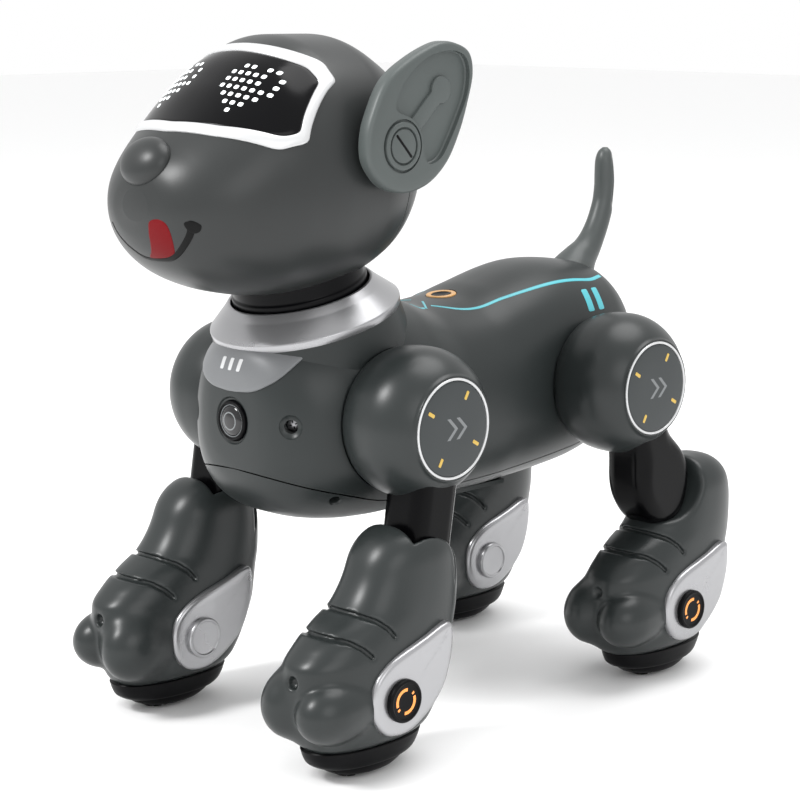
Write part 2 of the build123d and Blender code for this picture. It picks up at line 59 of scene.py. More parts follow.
def corners_mm(node):
    """A CAD node's lowest and highest corner, in millimetres."""
    low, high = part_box(node)
    return np.array(low) / MM, np.array(high) / MM


def joint_place(name):
    """A joint's point and axis in the row frame, in millimetres."""
    for joint in frame["record"]["behaviour"]["joints"]:
        if joint["name"] == name:
            return np.array(joint["pos_m"]) / MM, np.array(joint["axis"], float)
    raise KeyError(name)


# ---------------------------------------------------------------- places from the frame
SIDEWAYS, REARWARDS, UPWARDS = np.eye(3)
SIDES = {"left": 1, "right": -1}
ENDS = ("front", "rear")
NECK_BASE, NECK_AXIS = joint_place("head_turn")
EAR_PIVOT, _ = joint_place("left_ear_turn")
NECK_AHEAD = 60.0                          # from the wheel base's middle to the neck's joint
ORIGIN_Y = NECK_BASE[1] + NECK_AHEAD       # the wheel base's middle, in the row frame
MIDDLE = np.array([0, ORIGIN_Y, 0])

# ---------------------------------------------------------------- shape tables
# Head stations: y, low z, high z, half width, z of the widest point, squareness
HEAD = [
    (-150, 226, 239, 8, 231.5, 2.0),
    (-148.6, 219, 244, 16, 231, 2.0),
    (-145, 212, 250, 24, 231, 2.05),
    (-138, 205, 257, 32, 232, 2.1),
    (-127, 199, 266.5, 39.5, 234, 2.15),
    (-113, 194.5, 279, 45, 237, 2.2),
    (-97, 191.8, 290.5, 49, 240, 2.25),
    (-78, 191, 297.6, 51, 243, 2.25),
    (-58, 193.5, 297.5, 50.5, 245, 2.2),
    (-40, 199, 290.5, 45.5, 246, 2.15),
    (-27, 208, 278.5, 36.5, 246, 2.1),
    (-18.5, 221, 266, 24, 245, 2.0),
    (-15, 236, 252, 9, 244, 2.0),
]
# Trunk stations, in the same form
TRUNK = [
    (-101.6, 131, 153, 8, 140, 2.1),
    (-101.0, 121, 162, 16, 138, 2.2),
    (-98.6, 111.5, 168.5, 24.5, 136, 2.35),
    (-93, 103.5, 173, 32.5, 134, 2.5),
    (-85, 98, 177, 39, 132, 2.6),
    (-73, 94.5, 181, 44, 131, 2.7),
    (-58, 92.5, 185, 46.5, 131, 2.75),
    (-40, 91.5, 187, 46.5, 131, 2.7),
    (-20, 91.5, 184.5, 45, 131, 2.55),
    (2, 91.5, 178.5, 43.5, 132, 2.4),
    (24, 91.5, 180, 43, 133, 2.35),
    (40, 92, 184, 42.5, 136, 2.35),
    (80, 94.5, 191.5, 42, 142, 2.3),
    (108, 100.5, 188.5, 38, 146, 2.3),
    (124, 111, 180, 29.5, 148, 2.2),
    (131.5, 124, 171, 18.5, 149, 2.1),
    (134, 135, 161, 8, 149, 2.0),
]


# ---------------------------------------------------------------- curves and grids
def smooth_curve(knots, values, at):
    """Monotone cubic interpolation, without overshoot."""
    knots = np.asarray(knots, float)
    values = np.asarray(values, float)
    steps = np.diff(knots)
    slopes = np.diff(values) / steps
    tangents = np.zeros(len(knots))
    tangents[0], tangents[-1] = slopes[0], slopes[-1]
    for i in range(1, len(knots) - 1):
        if slopes[i - 1] * slopes[i] > 0:
            near = 2 * steps[i] + steps[i - 1]
            far = steps[i] + 2 * steps[i - 1]
            tangents[i] = (near + far) / (near / slopes[i - 1] + far / slopes[i])
    cell = np.clip(np.searchsorted(knots, at) - 1, 0, len(knots) - 2)
    width = steps[cell]
    t = (at - knots[cell]) / width
    return (
        (2 * t**3 - 3 * t**2 + 1) * values[cell]
        + (t**3 - 2 * t**2 + t) * width * tangents[cell]
        + (-2 * t**3 + 3 * t**2) * values[cell + 1]
        + (t**3 - t**2) * width * tangents[cell + 1]
    )


def station_curves(stations, at):
    """Smooth curves through a station table's columns, over its first column."""
    table = np.array(stations, float)
    return [smooth_curve(table[:, 0], column, at) for column in table[:, 1:].T]


def spline_point(p0, p1, p2, p3, t):
    """A point of a smooth curve between p1 and p2."""
    return 0.5 * (
        2 * p1 + (p2 - p0) * t + (2 * p0 - 5 * p1 + 4 * p2 - p3) * t**2
        + (3 * p1 - p0 - 3 * p2 + p3) * t**3
    )


def closed_spline(points, count):
    """Points along a smooth closed curve through the given 2D points."""
    points = np.asarray(points, float)
    n = len(points)
    out = []
    for step in range(count):
        s = step * n / count
        i = int(s)
        out.append(spline_point(*(points[(i + k) % n] for k in (-1, 0, 1, 2)), s - i))
    return np.array(out)


def path_through(points, count):
    """A smooth open curve through 2D points, with even steps of the parameter."""
    points = np.asarray(points, float)
    knots = np.concatenate([[0], np.cumsum(np.linalg.norm(np.diff(points, axis=0), axis=1))])
    extended = np.concatenate([[2 * points[0] - points[1]], points, [2 * points[-1] - points[-2]]])
    out = []
    for s in np.linspace(0, knots[-1], count):
        i = min(int(np.searchsorted(knots, s, side="right")) - 1, len(points) - 2)
        out.append(spline_point(*extended[i:i + 4], (s - knots[i]) / (knots[i + 1] - knots[i])))
    return np.array(out)


def corner_arc(before, here, after, radius, steps):
    """Points of the round that takes off the corner at here."""
    to_before, to_after = before - here, after - here
    before_length, after_length = np.linalg.norm(to_before), np.linalg.norm(to_after)
    reach = min(radius, 0.45 * before_length, 0.45 * after_length)
    start = here + to_before / before_length * reach
    end = here + to_after / after_length * reach
    share = np.arange(steps + 1)[:, None] / steps
    return (1 - share) ** 2 * start + 2 * share * (1 - share) * here + share**2 * end


def rounded_polygon(points, radius, per_corner=6, per_edge=8):
    """A closed outline with its corners rounded, as a dense list of 2D points."""
    points = np.asarray(points, float)
    arcs = [corner_arc(points[i - 1], points[i], points[(i + 1) % len(points)], radius, per_corner)
            for i in range(len(points))]
    out = []
    for arc, following in zip(arcs, arcs[1:] + arcs[:1]):
        out.extend(arc)
        out.extend(arc[-1] + (following[0] - arc[-1]) * k / per_edge for k in range(1, per_edge))
    return np.array(out)


def rounded_profile(points, radius, steps=5):
    """A (distance, radius) profile with its inner corners rounded."""
    points = np.asarray(points, float)
    out = [tuple(points[0])]
    for before, here, after in zip(points, points[1:], points[2:]):
        out.extend(tuple(point) for point in corner_arc(before, here, after, radius, steps))
    return out + [tuple(points[-1])]


def mirror_outline(right_side):
    """A closed outline from its +X half, given from bottom to top along the middle."""
    left_side = [(-x, height) for x, height in reversed(right_side) if x > 0]
    return right_side + left_side


def inset(outline, distance):
    """The outline moved inwards along its normals."""
    following = np.roll(outline, -1, axis=0) - outline
    previous = outline - np.roll(outline, 1, axis=0)
    tangent = following / np.linalg.norm(following, axis=1)[:, None]
    tangent = tangent + previous / np.linalg.norm(previous, axis=1)[:, None]
    tangent /= np.linalg.norm(tangent, axis=1)[:, None]
    normal = np.stack([-tangent[:, 1], tangent[:, 0]], axis=1)
    area = np.sum(outline[:, 0] * np.roll(outline[:, 1], -1) - np.roll(outline[:, 0], -1) * outline[:, 1])
    return outline + normal * distance * (1 if area > 0 else -1)


def signed_power(values, power):
    return np.sign(values) * np.abs(values) ** power


def spaced(start, stop, count):
    """Places from start to stop, closer together near both ends."""
    return start + (stop - start) * (1 - np.cos(np.linspace(0, math.pi, count))) / 2


def ring_angles(count):
    return np.linspace(0, 2 * math.pi, count, endpoint=False)


def body_grid(stations, places, angles):
    """Points of a body lofted along Y; angles is one list, or one for each place."""
    low, high, half, widest, square = station_curves(stations, places)
    angles = np.broadcast_to(angles, (len(places), np.shape(angles)[-1]))
    grid = np.zeros(angles.shape + (3,))
    for i, place in enumerate(places):
        cosine, sine = np.cos(angles[i]), np.sin(angles[i])
        height = np.where(sine > 0, high[i] - widest[i], widest[i] - low[i])
        grid[i, :, 0] = half[i] * signed_power(cosine, 2 / square[i])
        grid[i, :, 1] = place + ORIGIN_Y
        grid[i, :, 2] = widest[i] + height * signed_power(sine, 2 / square[i])
    return grid


def grid_faces(rows, columns, closed=True):
    faces = []
    for i in range(rows - 1):
        for j in range(columns if closed else columns - 1):
            k = (j + 1) % columns
            faces.append((i * columns + j, i * columns + k, (i + 1) * columns + k, (i + 1) * columns + j))
    return faces


def capped(grid):
    """Vertices and faces of a closed-section grid with a cap at each end."""
    rows, columns = grid.shape[:2]
    vertices = grid.reshape(-1, 3).tolist()
    faces = grid_faces(rows, columns)
    for row in (0, rows - 1):
        start = row * columns
        middle = len(vertices)
        vertices.append(grid[row].mean(axis=0).tolist())
        for j in range(columns):
            a, b = start + j, start + (j + 1) % columns
            faces.append((a, middle, b) if row == 0 else (b, middle, a))
    return vertices, faces


def axis_frame(axis):
    """Two unit vectors square to axis; the first is as near +X as it can be."""
    axis = np.asarray(axis, float) / np.linalg.norm(axis)
    first = np.array([1.0, 0, 0]) if abs(axis[0]) < 0.9 else np.array([0, 1.0, 0])
    first = first - axis * (first @ axis)
    first /= np.linalg.norm(first)
    return axis, first, np.cross(axis, first)


def uncapped(grid, closed=True):
    """Vertices and faces of a grid of points, without caps."""
    return grid.reshape(-1, 3).tolist(), grid_faces(*grid.shape[:2], closed)


def turned(profile, origin, axis, columns=96):
    """Vertices and faces of a solid of revolution; profile is (distance along, radius)."""
    axis, first, second = axis_frame(axis)
    angle = ring_angles(columns)
    ring = np.cos(angle)[:, None] * first + np.sin(angle)[:, None] * second
    origin = np.asarray(origin, float)
    grid = np.array([origin + along * axis + max(radius, 0.0) * ring for along, radius in profile])
    ring_shaped = profile[0][1] > 0 and profile[0] == profile[-1]
    return uncapped(grid) if ring_shaped else capped(grid)


def cylinder(origin, axis, start, end, radius, columns=72):
    return turned([(start, radius), (end, radius)], origin, axis, columns)


def join_parts(parts):
    """Vertices and faces of several (vertices, faces) lists as one."""
    vertices, faces = [], []
    for part_vertices, part_faces in parts:
        base = len(vertices)
        vertices.extend(part_vertices)
        faces.extend(tuple(base + k for k in face) for face in part_faces)
    return vertices, faces


def flip(part, side):
    """The part itself on the left side, and its mirror image on the right."""
    vertices, faces = part
    return [(side * v[0], v[1], v[2]) for v in vertices], faces


def plate(outline, profile, place, rings=0):
    """A plate on an outline: profile is (inset, height) from the first ring to the last.

    place(points, height) gives the rings' places in space. With rings, the middle is
    filled by that many shrinking rings, so that it can follow a curved surface.
    """
    grids = [place(inset(outline, distance), height) for distance, height in profile]
    last_distance, last_height = profile[-1]
    last = inset(outline, last_distance)
    middle = last.mean(axis=0)
    for k in range(1, rings + 1):
        share = 1 - k / (rings + 1)
        grids.append(place(middle + (last - middle) * share, last_height))
    count = len(outline)
    vertices = np.concatenate(grids).tolist()
    faces = grid_faces(len(grids), count)
    end = (len(grids) - 1) * count
    vertices.append(place(np.array([middle]), last_height)[0].tolist())
    tip = len(vertices) - 1
    for j in range(count):
        faces.append((end + j, end + (j + 1) % count, tip))
    return vertices, faces


def solid_plate(outline, profile, place, rings=0):
    """A plate that is closed on both faces."""
    vertices, faces = plate(outline, profile, place, rings)
    first = inset(outline, profile[0][0])
    vertices.append(place(np.array([first.mean(axis=0)]), profile[0][1])[0].tolist())
    tip = len(vertices) - 1
    faces.extend(((j + 1) % len(outline), j, tip) for j in range(len(outline)))
    return vertices, faces


def ribbon(path, half_widths, place, thickness=0.14):
    """A thin raised strip along a 2D path; place(points, height) puts it on its surface."""
    tangent = np.gradient(path, axis=0)
    tangent /= np.linalg.norm(tangent, axis=1)[:, None]
    normal = np.stack([-tangent[:, 1], tangent[:, 0]], axis=1)
    section = [(-1.0, -thickness), (-0.9, 0.8 * thickness), (-0.4, thickness), (0.4, thickness),
               (0.9, 0.8 * thickness), (1.0, -thickness)]
    half_widths = np.broadcast_to(half_widths, len(path))
    rows = [place(path + normal * (share * half_widths)[:, None], height) for share, height in section]
    return uncapped(np.array(rows), closed=False)


class Surface:
    """A mesh that flat outlines can be projected onto."""

    def __init__(self, grid):
        vertices, faces = capped(grid)
        self.tree = BVHTree.FromPolygons([Vector(v) for v in vertices], faces)

    def drop(self, origins, direction, height):
        """Points where rays from origins meet the surface, raised along its normal."""
        out = []
        for origin in origins:
            hit, normal, _, _ = self.tree.ray_cast(Vector(origin), Vector(direction))
            if hit is None:
                hit, normal, _, _ = self.tree.find_nearest(Vector(origin))
            if normal.dot(Vector(direction)) > 0:
                normal = -normal
            out.append(tuple(hit + normal * height))
        return np.array(out)


def flat_place(origin, first, second, axis, lift=0.0):
    """place() for a flat face: outlines run along first and second, heights along axis."""
    def place(points, height):
        base = np.asarray(origin) + (lift + height) * np.asarray(axis, float)
        return np.array([base + p[0] * first + p[1] * second for p in points])
    return place


def dropped_place(surface, base, first, second, direction):
    """place() for a surface: rays in direction start from an outline beside base."""
    def place(points, height):
        origins = [base + p[0] * first + p[1] * second for p in points]
        return surface.drop(origins, direction, height)
    return place


# ---------------------------------------------------------------- materials
def plastic(name, color, roughness, coat=0.0, metallic=0.0, grain=0.035, bump=0.06, scale=900.0,
            specular=0.5, tint=0.12):
    """Moulded plastic: fine spark-eroded grain, and slow changes of tone and gloss."""
    material = bpy.data.materials.new(name)
    material.use_nodes = True
    nodes, links = material.node_tree.nodes, material.node_tree.links
    shader = nodes["Principled BSDF"]
    shader.inputs["Metallic"].default_value = metallic
    shader.inputs["Coat Weight"].default_value = coat
    shader.inputs["Coat Roughness"].default_value = 0.12
    shader.inputs["Specular IOR Level"].default_value = specular
    place = nodes.new("ShaderNodeTexCoord")

    slow = nodes.new("ShaderNodeTexNoise")
    slow.inputs["Scale"].default_value = 22.0
    slow.inputs["Detail"].default_value = 3.0
    links.new(place.outputs["Object"], slow.inputs["Vector"])
    tone = nodes.new("ShaderNodeMix")
    tone.data_type = "RGBA"
    dark = [c * (1 - tint) for c in color[:3]] + [1]
    light = [min(1.0, c * (1 + tint)) for c in color[:3]] + [1]
    tone.inputs["A"].default_value = dark
    tone.inputs["B"].default_value = light
    links.new(slow.outputs["Fac"], tone.inputs["Factor"])
    links.new(tone.outputs["Result"], shader.inputs["Base Color"])

    fine = nodes.new("ShaderNodeTexNoise")
    fine.inputs["Scale"].default_value = scale
    fine.inputs["Detail"].default_value = 2.0
    links.new(place.outputs["Object"], fine.inputs["Vector"])
    gloss = nodes.new("ShaderNodeMapRange")
    gloss.inputs["To Min"].default_value = max(0.02, roughness - grain)
    gloss.inputs["To Max"].default_value = roughness + grain
    links.new(slow.outputs["Fac"], gloss.inputs["Value"])
    links.new(gloss.outputs["Result"], shader.inputs["Roughness"])

    relief = nodes.new("ShaderNodeBump")
    relief.inputs["Strength"].default_value = bump
    relief.inputs["Distance"].default_value = 0.0002
    links.new(fine.outputs["Fac"], relief.inputs["Height"])
    links.new(relief.outputs["Normal"], shader.inputs["Normal"])
    return material


def glowing(name, color, strength):
    """A lit light guide with a slightly uneven glow."""
    material = plastic(name, color, 0.4, bump=0.02)
    nodes, links = material.node_tree.nodes, material.node_tree.links
    shader = nodes["Principled BSDF"]
    shader.inputs["Emission Strength"].default_value = strength
    tone = next(node for node in nodes if node.type == "MIX")
    links.new(tone.outputs["Result"], shader.inputs["Emission Color"])
    return material


MAT = {
    "body": plastic("body_grey_plastic", (0.018, 0.0215, 0.0215), 0.36, specular=0.30),
    "head": plastic("head_grey_plastic", (0.024, 0.026, 0.026), 0.36, specular=0.30),
    "limb": plastic("limb_grey_plastic", (0.019, 0.0225, 0.0225), 0.33, specular=0.34),
    "ear": plastic("ear_grey_plastic", (0.070, 0.081, 0.079), 0.42, specular=0.35),
    "tail": plastic("tail_grey_plastic", (0.050, 0.057, 0.056), 0.40, specular=0.4),
    "black": plastic("black_plastic", (0.002, 0.002, 0.0025), 0.38, specular=0.10),
    "neck": plastic("neck_black_plastic", (0.0015, 0.0015, 0.002), 0.30, specular=0.10),
    "gloss_black": plastic("visor_black_gloss", (0.0015, 0.0015, 0.002), 0.16, specular=0.14, bump=0.01),
    "thigh": plastic("thigh_black_gloss", (0.0012, 0.0012, 0.0015), 0.22, specular=0.10, bump=0.02),
    "silver": plastic(
        "silver_paint", (0.36, 0.36, 0.37), 0.28, metallic=0.8, scale=2500, bump=0.05, tint=0.04,
    ),
    "pale": plastic(
        "pale_silver_paint", (0.56, 0.565, 0.57), 0.32, metallic=0.35, scale=2500, bump=0.04, tint=0.03,
    ),
    "badge": plastic("badge_grey", (0.14, 0.145, 0.15), 0.40, metallic=0.1, specular=0.4),
    "disc": plastic("disc_grey_plastic", (0.028, 0.033, 0.034), 0.40, specular=0.36),
    "rubber": plastic("wheel_rubber", (0.003, 0.003, 0.003), 0.62, bump=0.2, scale=1500, specular=0.15),
    "red": plastic("tongue_red", (0.13, 0.001, 0.003), 0.40, bump=0.02, specular=0.12),
    "ink": plastic("mouth_ink", (0.001, 0.001, 0.001), 0.40, bump=0.02, specular=0.15),
    "teal": plastic("teal_ink", (0.07, 0.42, 0.48), 0.35, bump=0.02),
    "yellow": plastic("yellow_ink", (0.55, 0.36, 0.06), 0.40, bump=0.02),
    "mark": plastic("light_grey_ink", (0.16, 0.17, 0.175), 0.40, bump=0.02),
    "steel": plastic("screw_steel", (0.30, 0.30, 0.31), 0.28, metallic=1.0, scale=1800),
    "led": glowing("led_white", (0.86, 0.90, 0.92), 0.55),
    "orange": glowing("orange_light_ring", (0.85, 0.30, 0.06), 0.35),
    "amber": plastic("amber_ring_paint", (0.62, 0.34, 0.12), 0.35),
    "lens": plastic("smoked_lens", (0.003, 0.003, 0.004), 0.08, coat=0.3, bump=0.0, specular=0.4),
    "board": plastic("green_circuit_board", (0.02, 0.16, 0.07), 0.35, scale=1600),
    "battery": plastic("blue_battery_film", (0.03, 0.10, 0.42), 0.25, coat=0.3),
    "gear": plastic("white_gearbox_nylon", (0.70, 0.69, 0.65), 0.45),
    "floor": plastic("pale_floor", (0.95, 0.95, 0.95), 0.7, bump=0.0, tint=0.005, specular=0.1),
}


# ---------------------------------------------------------------- objects
def closed_mesh(name, part, merge):
    """A mesh from (vertices, faces) in millimetres; points closer than merge metres become one."""
    vertices, faces = part
    mesh = bpy.data.meshes.new(name)
    mesh.from_pydata([tuple(c * MM for c in v) for v in vertices], [], [tuple(f) for f in faces])
    work = bmesh.new()
    work.from_mesh(mesh)
    bmesh.ops.remove_doubles(work, verts=work.verts, dist=merge)
    bmesh.ops.recalc_face_normals(work, faces=work.faces)
    work.to_mesh(mesh)
    work.free()
    return mesh


def in_scene(name, data):
    obj = bpy.data.objects.new(name, data)
    bpy.context.scene.collection.objects.link(obj)
    return obj


def make_object(name, part, material, body, slot, replaces=None, flat=False, sharp=None):
    """A piece that rides on a body, and stands for a CAD node when replaces names one."""
    mesh = closed_mesh(name, part, 1e-6)
    mesh.shade_smooth()
    if flat:
        mesh.shade_flat()
    if sharp:
        mesh.set_sharp_from_angle(angle=math.radians(sharp))
    obj = in_scene(name, mesh)
    mesh.materials.append(MAT[material])
    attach(obj, body)
    if replaces:
        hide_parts(replaces)
    return obj


CUT_EDGE = math.radians(35)     # edges sharper than this stay crisp after a cut


def cut(obj, cutters):
    """Subtracts closed parts, in millimetres, from an object."""
    tool = in_scene("cutter", closed_mesh("cutter", join_parts(cutters), 1e-7))
    modifier = obj.modifiers.new("cut", "BOOLEAN")
    modifier.operation = "DIFFERENCE"
    modifier.solver = "EXACT"
    modifier.object = tool
    bpy.context.view_layer.update()
    result = bpy.data.meshes.new_from_object(obj.evaluated_get(bpy.context.evaluated_depsgraph_get()))
    obj.modifiers.clear()
    material = obj.data.materials[0]
    obj.data = result
    obj.data.materials.clear()
    obj.data.materials.append(material)
    obj.data.shade_smooth()
    obj.data.set_sharp_from_angle(angle=CUT_EDGE)
    bpy.data.objects.remove(tool)


# ---------------------------------------------------------------- head
HEAD_SEAM = (corners_mm("head_shell")[1][1] + corners_mm("head_back_shell")[0][1]) / 2 - ORIGIN_Y
SEAM_EDGE = 0.45            # from the middle of the seam to each moulding
HEAD_COLUMNS = 160
FRONT_RAYS = 60.0           # rays onto the muzzle and the chest start this far ahead


def rounded_edge(grid, way):
    """Adds a small rounded edge and an inner flange where a grid of rings was cut."""
    last = grid[-1]
    inward = last.mean(axis=0) - last
    inward /= np.linalg.norm(inward, axis=1)[:, None]
    rings = [last + inward * depth + np.array([0, way * step, 0])
             for depth, step in ((0.12, 0.2), (0.4, 0.3), (1.6, 0.3))]
    return np.concatenate([grid, np.array(rings)])


def head_part(end, rows, way):
    """The head from its front (way 1) or rear (way -1) end to the seam."""
    places = spaced(end, HEAD_SEAM - way * SEAM_EDGE, rows)
    return capped(rounded_edge(body_grid(HEAD, places, ring_angles(HEAD_COLUMNS)), way))


head_surface = Surface(body_grid(HEAD, spaced(HEAD[0][0], HEAD[-1][0], 200), ring_angles(200)))
make_object("head_front_moulding", head_part(HEAD[0][0], 150, 1), "head", "head", "body_grey", "head_shell")
make_object("head_rear_moulding", head_part(HEAD[-1][0], 50, -1), "head", "head", "body_grey",
            "head_back_shell")

# Visor: its outlines lie in a plane that looks up by VISOR_TILT; (x, height up that plane)
VISOR_TILT = math.radians(30)
VISOR_UP = np.array([0, math.sin(VISOR_TILT), math.cos(VISOR_TILT)])
VISOR_OUT = np.array([0, -math.cos(VISOR_TILT), math.sin(VISOR_TILT)])
VISOR_RAYS = 340.0          # rays onto the visor start this far out
VISOR_OUTLINE = mirror_outline([
    (0, 158.3), (23, 160.1), (42.5, 163.6), (46.6, 171.9), (40.6, 202.5), (33.5, 208.6), (0, 209.4),
])
VISOR_OPENING = mirror_outline([
    (0, 163.6), (23, 165.3), (41.7, 169.5), (44.5, 174.2), (38.7, 199), (33.0, 202.9), (0, 204.4),
])
VISOR_CORNER = 2.4
# How far from the outer edge to the opening (0 to 1), and how high above the head
BAND_PROFILE = [
    (0, -0.5), (0, 0.3), (0.05, 0.58), (0.14, 0.78), (0.5, 0.88), (0.84, 0.78), (0.95, 0.55), (1, 0.1),
    (1, -0.5),
]
on_visor = dropped_place(head_surface, MIDDLE + VISOR_RAYS * VISOR_OUT, SIDEWAYS, VISOR_UP, -VISOR_OUT)


def visor_band(outer, inner):
    rings = [on_visor(outer * (1 - share) + inner * share, height) for share, height in BAND_PROFILE]
    return uncapped(np.array(rings))


visor_edge, lens_edge = (
    rounded_polygon(outline, VISOR_CORNER, per_corner=5) for outline in (VISOR_OUTLINE, VISOR_OPENING)
)
make_object("visor_silver_band", visor_band(visor_edge, lens_edge), "pale", "head", "pale_silver",
            "visor_frame", sharp=50)
visor_glass = plate(inset(lens_edge, 0.1), [(0, -0.5), (0, 0.05), (0.3, 0.2)], on_visor, rings=26)
make_object("visor_black_lens", visor_glass, "gloss_black", "head", "gloss_black", "visor_lens")

# Light dots in two hearts
HEART_ROWS = (".XX.XX.", "XXXXX.X", "XXXXX.X", "XXXXXXX", ".XXXXX.", "..XXX..", "...X...")
HEART_X, HEART_HEIGHT = 21.0, 184.5
DOT_PITCH = 3.496, 3.8      # across, and up
DOT_HALF, DOT_CORNER = 0.95, 0.7


def square_dot(x, height):
    corners = [(x + a * DOT_HALF, height + b * DOT_HALF) for a, b in ((-1, -1), (1, -1), (1, 1), (-1, 1))]
    return plate(rounded_polygon(corners, DOT_CORNER, 4, 2), [(0, 0.1), (0, 0.3), (0.2, 0.36)], on_visor)


dots = [
    square_dot(side * HEART_X + (column - 3) * DOT_PITCH[0], HEART_HEIGHT + (3 - row) * DOT_PITCH[1])
    for side in SIDES.values()
    for row, marks in enumerate(HEART_ROWS)
    for column, mark in enumerate(marks) if mark == "X"
]
make_object("visor_light_dots", join_parts(dots), "led", "head", "lens_clear")

# Nose: an oval bump across the muzzle
NOSE_MIDDLE = (0, -144.0 + ORIGIN_Y, 249.0)
NOSE_TILT = math.radians(33)
NOSE_RISE, NOSE_RADIUS = 7.0, 10.6
NOSE_STRETCH = 1.22         # width over height


def nose_bump():
    arc = np.linspace(-0.5, math.pi / 2, 30)
    profile = [(NOSE_RISE * math.sin(a), NOSE_RADIUS * math.cos(a)) for a in arc]
    vertices, faces = turned(profile, NOSE_MIDDLE, (0, -math.cos(NOSE_TILT), math.sin(NOSE_TILT)))
    return [(v[0] * NOSE_STRETCH, v[1], v[2]) for v in vertices], faces


make_object("nose_bump", nose_bump(), "head", "head", "body_grey", "nose")

# Mouth: drawn on the muzzle as (x, z), seen from the front
muzzle_start = MIDDLE + (HEAD[0][0] - FRONT_RAYS) * REARWARDS
on_muzzle = dropped_place(head_surface, muzzle_start, SIDEWAYS, UPWARDS, REARWARDS)
SMILE = [
    (-19, 224), (-16, 220), (-11.1, 216), (-6.9, 213.5), (-2.3, 211.2), (3, 210.6), (11.2, 211.2),
    (16.4, 213.4), (20.9, 217.2), (24.4, 221.5), (25.9, 225),
]
SMILE_STEPS = 60
MOUTH_CORNER = [(23.6, 226.4), (26.0, 227.7), (28.8, 226), (28.2, 223.6), (26.4, 222.6), (24.6, 223.6)]
TONGUE = [
    (2.2, 211.2), (5.0, 214.5), (6.5, 218.2), (7.0, 222.2), (8.2, 226.4), (12.9, 227.6), (16.5, 226),
    (17.7, 222), (17.1, 217), (15.2, 213.5), (9.5, 211.6),
]
smile_width = 0.45 + 0.85 * np.linspace(0, 1, SMILE_STEPS) ** 1.3
smile = ribbon(path_through(SMILE, SMILE_STEPS), smile_width, on_muzzle)
make_object("mouth_line", smile, "ink", "head", "gloss_black")
corner = plate(closed_spline(MOUTH_CORNER, 40), [(0, -0.1), (0, 0.12), (0.3, 0.2)], on_muzzle, rings=4)
make_object("mouth_corner", corner, "ink", "head", "gloss_black")
tongue = plate(closed_spline(TONGUE, 70), [(0, -0.1), (0, 0.08), (0.3, 0.12)], on_muzzle, rings=8)
make_object("tongue", tongue, "red", "head", "gloss_black")

# ---------------------------------------------------------------- ears
# Outlines are (y, z) in the ear's own plane, as seen from the outside
EAR_LEAF = [
    (-41.8, 294.4), (-57.3, 288.5), (-70.1, 280.2), (-78.1, 266.8), (-80.9, 256.9), (-79.7, 247.3),
    (-71.8, 238.3), (-59.7, 234.9), (-46.5, 237.8), (-35.6, 245.9), (-28.1, 257.8), (-23.1, 270.4),
    (-20.2, 281.9), (-22.6, 290.6), (-31.7, 294.6),
]
EAR_RECESS = [
    (-65.4, 268.5), (-63.6, 275.5), (-57.3, 282.9), (-46.7, 289.2), (-35.1, 291.2), (-26.8, 289.2),
    (-23.6, 283), (-24.8, 273.5), (-29.4, 264.2), (-34.9, 255), (-40, 248.4), (-46.5, 246.2), (-49.6, 250.5),
    (-50.6, 257.5), (-56, 264.4),
]
EAR_BACK_X, EAR_FACE_X = 54.0, 61.0
EAR_HUB = np.array([EAR_PIVOT[1] - ORIGIN_Y, EAR_PIVOT[2]])
EAR_SEAT = np.array([EAR_BACK_X, EAR_PIVOT[1], EAR_PIVOT[2]])
EAR_THICK = EAR_FACE_X - EAR_BACK_X
EAR_KNOB, KNOB_RADIUS = np.array([-38.7, 275.6]), 5.6
KNOB_SWEEP = 2.5            # the knob's arc, to each side of the bar's direction, in radians
SLOT_LEAN, SLOT_LENGTH, SLOT_WIDTH, SLOT_DEPTH = -47, 12.6, 1.1, 1.0       # lean in degrees
BONE_HALF, BONE_LENGTH = 3.4, 16.0
ROUNDEL_RADIUS = 9.9
RECESS_DEPTH = 2.4
on_ear = flat_place(MIDDLE, REARWARDS, UPWARDS, SIDEWAYS)


def ear_plate():
    back, face = EAR_BACK_X, EAR_FACE_X
    profile = [
        (1.6, back), (0.6, back + 0.35), (0, back + 1.3), (0, face - 2.2), (0.3, face - 1.0),
        (1.0, face - 0.3), (2.0, face), (6.0, face),
    ]
    return solid_plate(closed_spline(EAR_LEAF, 200), profile, on_ear, rings=6)


def ear_recess():
    """The hollow in the ear's face, as a prism to cut out of it."""
    bottom = EAR_FACE_X - RECESS_DEPTH
    profile = [(0.5, bottom), (0, bottom + 0.5), (-0.3, EAR_FACE_X + 2)]
    return solid_plate(closed_spline(EAR_RECESS, 160), profile, on_ear, rings=2)


def ear_bone():
    """Raised bar from the roundel to a round knob near the tip."""
    way = (EAR_KNOB - EAR_HUB) / np.linalg.norm(EAR_KNOB - EAR_HUB)
    across = np.array([-way[1], way[0]])
    knob_arc = [EAR_KNOB + KNOB_RADIUS * (math.cos(a) * way + math.sin(a) * across)
                for a in np.linspace(-KNOB_SWEEP, KNOB_SWEEP, 22)]
    foot = EAR_HUB + way * (ROUNDEL_RADIUS - 1.5)
    right = [foot - across * BONE_HALF + way * s for s in np.linspace(0, BONE_LENGTH, 8)]
    left = [foot + across * BONE_HALF + way * s for s in np.linspace(BONE_LENGTH, 0, 8)]
    face = EAR_FACE_X - RECESS_DEPTH
    profile = [(0, face - 0.3), (0, face + 1.0), (0.25, face + 1.35), (0.7, face + 1.5)]
    return plate(np.array(right + knob_arc + left), profile, on_ear)


